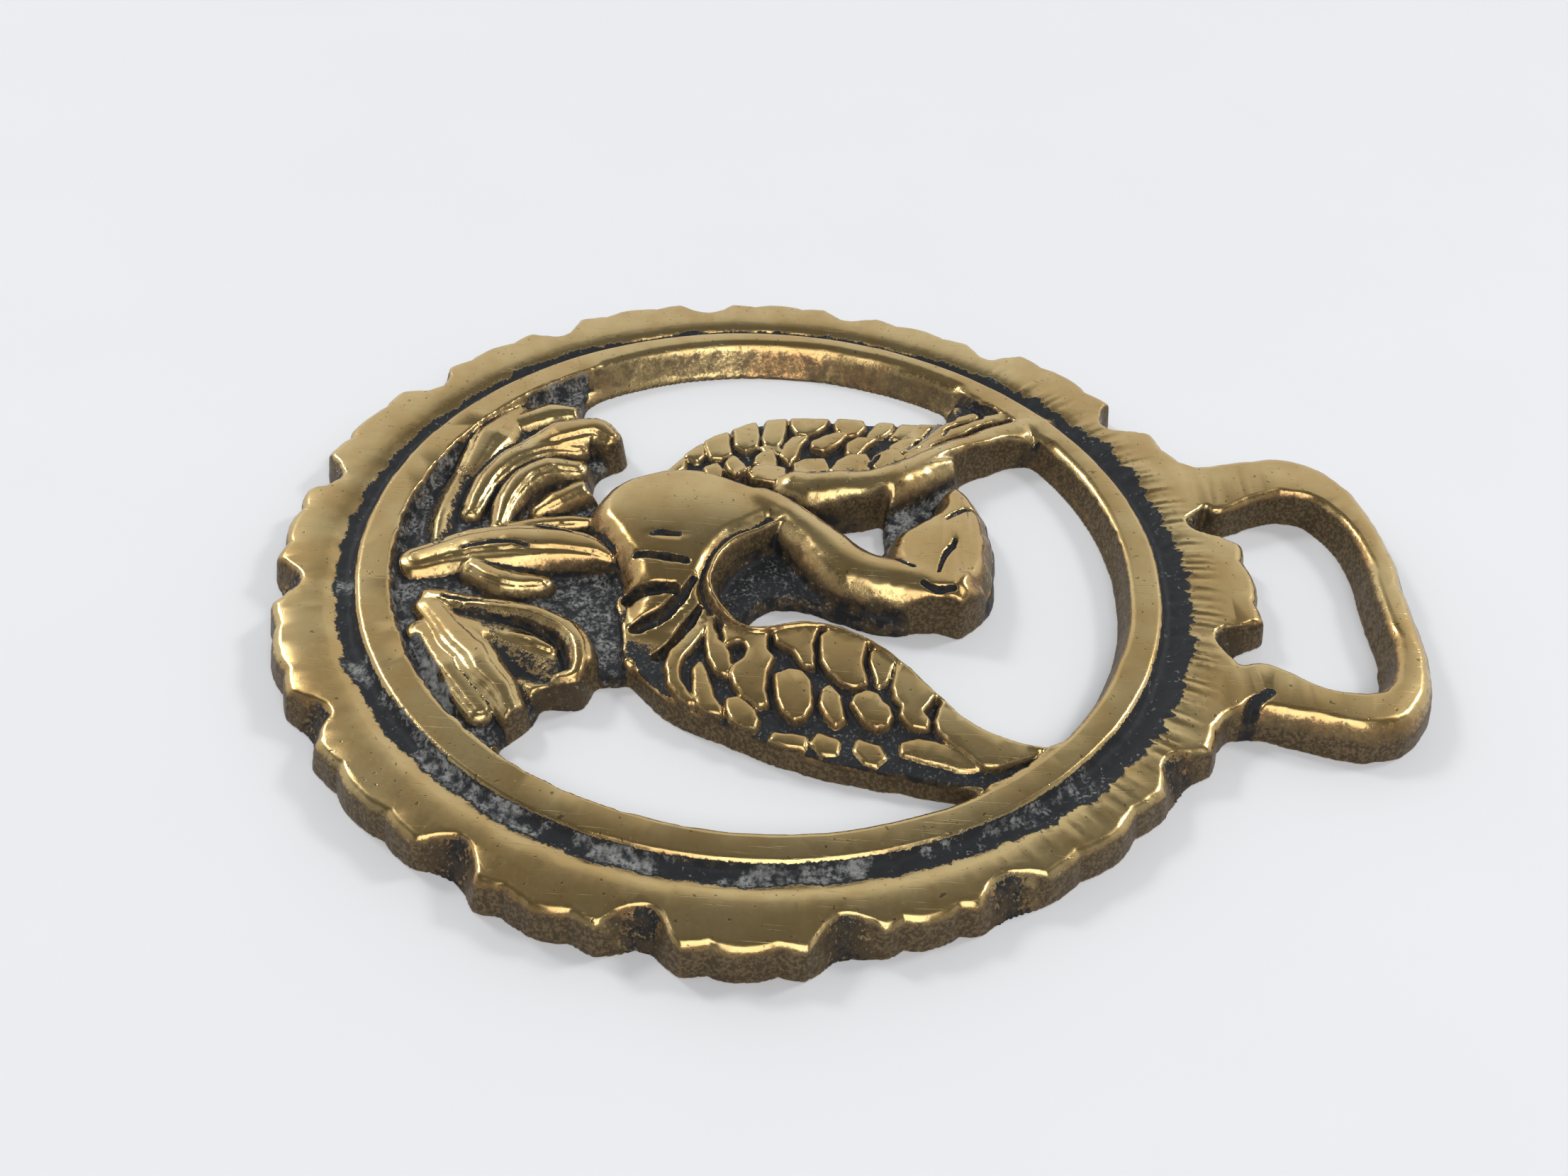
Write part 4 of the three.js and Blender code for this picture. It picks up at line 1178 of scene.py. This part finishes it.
class Casting:
    """The whole brass: relief, skin, surface grain and finish in one piece."""

    NAME = "horse_brass_casting"
    FACES = 190_000

    def __init__(self, finish: bpy.types.Material) -> None:
        """Works the relief of every part."""
        self.finish = finish
        self.relief = Relief()
        Ring().work(self.relief)
        Hanger().work(self.relief)
        flames, phoenix = Flames(), Phoenix()
        phoenix.web(self.relief)
        flames.work(self.relief)
        LEFT_WING.work(self.relief)
        RIGHT_WING.work(self.relief)
        phoenix.work(self.relief)
        self.over_ring()
        self.weather()

    def over_ring(self) -> None:
        """Lets the ring's band run unbroken over the wing tips and the flame bed."""
        relief = self.relief
        inner = smooth_step(30.9, 31.2, np.hypot(relief.x, relief.y))
        band = inner * smooth_step(33.5, 33.2, np.hypot(relief.x, relief.y))
        for name in ("tarnish", "chalk"):
            values = getattr(relief, name)
            values[:] = values * (1 - band)

    def weather(self) -> None:
        """Marks recesses, high places and rough cast surfaces."""
        relief = self.relief
        relief.round_edges()
        metal = smooth_step(0.3, -0.1, relief.outline)
        weight = blur(metal, 0.7) + 1e-4
        around = blur(relief.top * metal, 0.7) / weight
        within = smooth_step(-0.2, -1.2, relief.outline + relief.draft * relief.top)
        recess = smooth_step(0.04, 0.34, around - relief.top) * within
        proud = smooth_step(0.03, 0.3, relief.top - around)
        relief.tarnish[:] = np.clip(np.maximum(recess, relief.tarnish * (1 - 0.8 * proud)), 0, 1)
        relief.rough[:] = np.clip(np.maximum(relief.rough, recess), 0, 1)

    def build(self) -> bpy.types.Object:
        """Builds the piece.

        Returns:
            The finished object, at the origin with its place in its mesh.
        """
        skin = Skin(self.relief)
        points, faces = skin.draw()
        points, ways = skin.settle(points)
        LOG.info("skin drawn with %d points", len(points))
        mesh = bpy.data.meshes.new(self.NAME)
        mesh.from_pydata(points * MM, [], faces)
        piece = bpy.data.objects.new(self.NAME, mesh)
        bpy.context.scene.collection.objects.link(piece)
        rough = np.maximum(skin.sample(self.relief.rough, points), 1 - np.abs(ways[:, 2]) ** 2)
        self.attribute(mesh, "rough", rough)
        CastSkin(self.finish).work(piece)
        self.thin_out(piece)
        self.dress(piece.data, skin)
        LOG.info("casting has %d faces", len(piece.data.polygons))
        return piece

    def thin_out(self, piece: bpy.types.Object) -> None:
        """Leaves fewer faces where the skin is flat, and keeps its directions as `way`."""
        size = len(piece.data.polygons) * 2
        thin = piece.modifiers.new("fewer_faces", "DECIMATE")
        thin.ratio = min(1.0, self.FACES / size)
        normals = np.zeros(len(piece.data.vertices) * 3, np.float32)
        piece.data.vertex_normals.foreach_get("vector", normals)
        self.attribute(piece.data, "way", normals.reshape(-1, 3))
        apply_modifiers(piece)

    def dress(self, mesh: bpy.types.Mesh, skin: Skin) -> None:
        """Marks what covers the metal, moves the mesh to its place and smooths its shading.

        Args:
            mesh: The thinned mesh, still in millimetres from the ring's centre.
            skin: The skin that it was drawn from.
        """
        count = len(mesh.vertices)
        place, ways = np.zeros(count * 3, np.float32), np.zeros(count * 3, np.float32)
        mesh.vertices.foreach_get("co", place)
        mesh.attributes["way"].data.foreach_get("vector", ways)
        place, ways = place.reshape(-1, 3) / MM, ways.reshape(-1, 3)
        ways /= np.maximum(np.linalg.norm(ways, axis=1, keepdims=True), 1e-6)
        marks = {"tarnish": self.relief.tarnish, "chalk": self.relief.chalk}
        for name, values in marks.items():
            self.attribute(mesh, name, skin.sample(values, place))
        mesh.attributes.remove(mesh.attributes["way"])
        # How steep each face is. The finish paints steep faces brown: partly the unpolished cast skin, partly
        # painted shade.
        self.attribute(mesh, "wall", np.clip(1.4 - 1.6 * np.abs(ways[:, 2]), 0, 1))
        place[:, :2] += np.array(RING_CENTRE)
        mesh.vertices.foreach_set("co", (place * MM).ravel())
        mesh.polygons.foreach_set("use_smooth", np.ones(len(mesh.polygons), bool))
        mesh.update()
        mesh.normals_split_custom_set_from_vertices(ways.tolist())

    @staticmethod
    def attribute(mesh: bpy.types.Mesh, name: str, values: np.ndarray) -> None:
        """Stores one number or direction for each vertex."""
        flat = values.ndim == 1
        kind, key = ("FLOAT", "value") if flat else ("FLOAT_VECTOR", "vector")
        layer = mesh.attributes.get(name) or mesh.attributes.new(name, kind, "POINT")
        layer.data.foreach_set(key, np.ascontiguousarray(values, np.float32).ravel())


@dataclass(frozen=True)
class PatinatedBrass:
    """Old polished brass: bright where it is rubbed, dark in its recesses, chalky in its creases."""

    name: str = "patinated_brass"
    brass: Triple = (0.54, 0.40, 0.185)
    deep_brass: Triple = (0.46, 0.31, 0.125)
    copper: Triple = (0.42, 0.20, 0.09)
    dark: Triple = (0.020, 0.021, 0.023)
    brown: Triple = (0.075, 0.052, 0.028)
    umber: Triple = (0.17, 0.12, 0.062)
    chalk: Triple = (0.27, 0.275, 0.265)

    def make(self) -> bpy.types.Material:
        """Builds the material."""
        material = bpy.data.materials.new(self.name)
        material.use_nodes = True
        tree = material.node_tree
        tree.nodes.clear()
        n = NodeTree(tree)
        place = n.add("ShaderNodeTexCoord").outputs["Object"]

        def mark(name: str) -> Socket:
            return n.add("ShaderNodeAttribute", attribute_name=name).outputs["Fac"]

        def mix(share: object, a: object, b: object) -> Socket:
            node = n.add("ShaderNodeMix", data_type="RGBA")
            for key, value in ((0, share), (6, a), (7, b)):
                if isinstance(value, tuple):
                    value = (*value, 1.0)
                n.feed(node.inputs[key], value)
            return node.outputs[2]

        broad = n.noise(place, 160.0, 3.0)
        middle = n.noise(place, 900.0, 3.0, 0.6)
        fine = n.noise(place, 3200.0, 3.0, 0.65)
        finest = n.noise(place, 9000.0, 2.0, 0.6)
        scratches = n.most(self.scratches(n, place, 0.5), self.scratches(n, place, -0.9))
        pits = n.ramp(n.noise(place, 2200.0, 1.0), 0.70, 0.76)
        ragged = n.plus(n.times(n.less(middle, 0.5), 0.6), n.times(n.less(fine, 0.5), 0.9))
        tarnish = n.ramp(n.plus(mark("tarnish"), ragged), 0.30, 0.55)
        wall = n.ramp(n.plus(mark("wall"), n.times(ragged, 1.3)), 0.2, 0.8)
        chalk = n.plus(n.times(mark("chalk"), 0.55), n.times(fine, 0.6))
        chalk = n.times(n.ramp(chalk, 0.5, 0.66), n.ramp(middle, 0.38, 0.62))
        stray = n.times(n.times(n.ramp(fine, 0.58, 0.68), n.ramp(middle, 0.5, 0.62)), tarnish)
        chalk = n.most(chalk, n.times(stray, 0.7))
        metal_colour = mix(n.ramp(broad, 0.35, 0.65), self.brass, self.deep_brass)
        warm = n.times(n.ramp(mark("wall"), 0.0, 0.5), n.ramp(broad, 0.42, 0.62))
        metal_colour = mix(n.times(warm, 0.45), metal_colour, self.copper)
        specks = n.times(n.most(pits, n.ramp(finest, 0.66, 0.76)), 0.6)
        metal_colour = mix(specks, metal_colour, self.brown)
        skin_colour = mix(n.ramp(middle, 0.4, 0.6), self.dark, self.brown)
        # Brown-umber colour of steep faces and walls: partly the unpolished cast skin, partly painted shade.
        wall_skin_and_shade_colour = mix(n.ramp(fine, 0.42, 0.62), self.brown, self.umber)
        colour = mix(wall, metal_colour, wall_skin_and_shade_colour)
        colour = mix(tarnish, colour, mix(wall, self.dark, skin_colour))
        colour = mix(chalk, colour, self.chalk)
        covered = n.most(tarnish, n.times(wall, 0.75))
        metallic = n.less(1.0, n.most(n.times(covered, 0.85), chalk))
        rough = n.plus(n.times(fine, 0.1), 0.14)
        rough = n.plus(rough, n.times(n.plus(scratches, broad), 0.08))
        rough = n.plus(rough, n.times(covered, 0.32))
        rough = n.math("ADD", rough, n.times(chalk, 0.4), clamp=True)
        bump = n.add("ShaderNodeBump")
        bump.inputs["Strength"].default_value = 0.4
        bump.inputs["Distance"].default_value = 0.05 * MM
        height = n.times(n.plus(fine, finest), n.plus(0.03, n.times(covered, 0.7)))
        height = n.less(height, n.times(n.most(scratches, pits), 0.22))
        n.feed(bump.inputs["Height"], n.plus(height, n.times(chalk, 0.8)))
        shader = n.add("ShaderNodeBsdfPrincipled")
        shader.inputs["Specular IOR Level"].default_value = 0.2
        n.feed(shader.inputs["Base Color"], colour)
        n.feed(shader.inputs["Metallic"], metallic)
        n.feed(shader.inputs["Roughness"], rough)
        n.feed(shader.inputs["Normal"], bump.outputs[0])
        end = n.add("ShaderNodeOutputMaterial")
        n.feed(end.inputs["Surface"], shader.outputs[0])
        return material

    @staticmethod
    def scratches(n: NodeTree, place: Socket, turn: float) -> Socket:
        """Returns fine straight scratches that run one way across the face."""
        lie = n.add("ShaderNodeMapping")
        lie.inputs["Rotation"].default_value = (0.0, 0.0, turn)
        lie.inputs["Scale"].default_value = (1.0, 0.03, 1.0)
        n.feed(lie.inputs["Vector"], place)
        return n.ramp(n.noise(lie.outputs[0], 4500.0, 2.0, 0.6), 0.66, 0.74)


@dataclass(frozen=True)
class Lamp:
    """A soft square light that faces the brass.

    Args:
        name: What it is called.
        place: Where it hangs, in metres.
        size: Length of its side in metres.
        power: Its power in watts.
        colour: Its colour.
    """

    name: str
    place: Triple
    size: float
    power: float
    colour: Triple


@dataclass(frozen=True)
class Studio:
    """The pale table, the soft lights and the camera."""

    eye: Triple = (0.09328, -0.00366, 0.08102)
    right: Triple = (-0.05856, 0.99722, 0.04612)
    down: Triple = (0.66079, 0.07335, -0.74698)
    forward: Triple = (-0.74828, -0.01326, -0.66325)
    lens: float = 32.84
    table_colour: Triple = (0.80, 0.81, 0.83)
    lamps: tuple[Lamp, ...] = (
        Lamp("ceiling", (0.55, 0.1, 0.85), 0.8, 5.9, (1.0, 0.99, 0.98)),
        Lamp("window_left", (-0.42, -0.50, 0.55), 0.14, 1.6, (1.0, 0.99, 0.97)),
        Lamp("window_right", (-0.36, 0.55, 0.55), 0.14, 1.6, (1.0, 0.99, 0.97)),
    )

    def camera(self) -> None:
        """Adds the camera at the viewing angle."""
        data = bpy.data.cameras.new("camera")
        data.sensor_width, data.lens = 36.0, self.lens
        data.clip_start, data.clip_end = 0.005, 20.0
        camera = bpy.data.objects.new("camera", data)
        turn = Matrix([self.right, [-v for v in self.down], [-v for v in self.forward]]).transposed()
        camera.matrix_world = Matrix.Translation(self.eye) @ turn.to_4x4()
        bpy.context.scene.collection.objects.link(camera)
        bpy.context.scene.camera = camera

    def table(self) -> None:
        """Adds the pale table that the brass lies on."""
        mesh = bpy.data.meshes.new("table")
        half = 4.0
        corners = [(-half, -half, 0), (half, -half, 0), (half, half, 0), (-half, half, 0)]
        mesh.from_pydata(corners, [], [(0, 1, 2, 3)])
        table = bpy.data.objects.new("table", mesh)
        bpy.context.scene.collection.objects.link(table)
        material = bpy.data.materials.new("pale_table")
        material.use_nodes = True
        n = NodeTree(material.node_tree)
        shader = material.node_tree.nodes["Principled BSDF"]
        place = n.add("ShaderNodeTexCoord").outputs["Object"]
        tone = n.ramp(n.noise(place, 40.0, 4.0), 0.2, 0.8)
        node = n.add("ShaderNodeMix", data_type="RGBA")
        node.inputs[6].default_value = (*self.table_colour, 1.0)
        node.inputs[7].default_value = (*(v * 0.985 for v in self.table_colour), 1.0)
        n.feed(node.inputs[0], tone)
        n.feed(shader.inputs["Base Color"], node.outputs[2])
        shader.inputs["Roughness"].default_value = 0.65
        shader.inputs["Specular IOR Level"].default_value = 0.3
        mesh.materials.append(material)

    @staticmethod
    def light(lamp: Lamp) -> None:
        """Adds one lamp."""
        data = bpy.data.lights.new(lamp.name, "AREA")
        data.size, data.energy, data.color = lamp.size, lamp.power, lamp.colour
        light = bpy.data.objects.new(lamp.name, data)
        light.location = lamp.place
        light.rotation_mode = "QUATERNION"
        light.rotation_quaternion = (-Vector(lamp.place)).to_track_quat("-Z", "Y")
        bpy.context.scene.collection.objects.link(light)

    def world(self) -> None:
        """Adds the pale surroundings, darker overhead and behind the camera."""
        world = bpy.data.worlds.new("studio")
        world.use_nodes = True
        bpy.context.scene.world = world
        n = NodeTree(world.node_tree)
        background = world.node_tree.nodes["Background"]
        way = n.add("ShaderNodeTexCoord").outputs["Generated"]
        split = n.add("ShaderNodeSeparateXYZ")
        n.feed(split.inputs[0], way)
        ahead = n.ramp(split.outputs["X"], 0.6, -0.5, 0.3, 1.0)
        high = n.ramp(split.outputs["Z"], 0.55, 0.78, 1.0, 0.2)
        n.feed(background.inputs["Strength"], n.times(n.times(ahead, high), 1.06))
        background.inputs["Color"].default_value = (0.93, 0.96, 1.0, 1.0)

    def build(self) -> None:
        """Sets up the whole studio."""
        self.camera()
        self.table()
        self.world()
        bpy.context.scene.view_settings.view_transform = "Standard"
        for lamp in self.lamps:
            self.light(lamp)


def main() -> None:
    """Builds the scene and reports its pieces."""
    logging.basicConfig(level=logging.INFO, format="%(name)s: %(message)s")
    Studio().build()
    finish = PatinatedBrass().make()
    piece = Casting(finish).build()
    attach(piece, "root")
    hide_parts("horse_brass")
    LOG.info("%s stands for the solid horse_brass", piece.name)


if __name__ == "__main__":
    main()
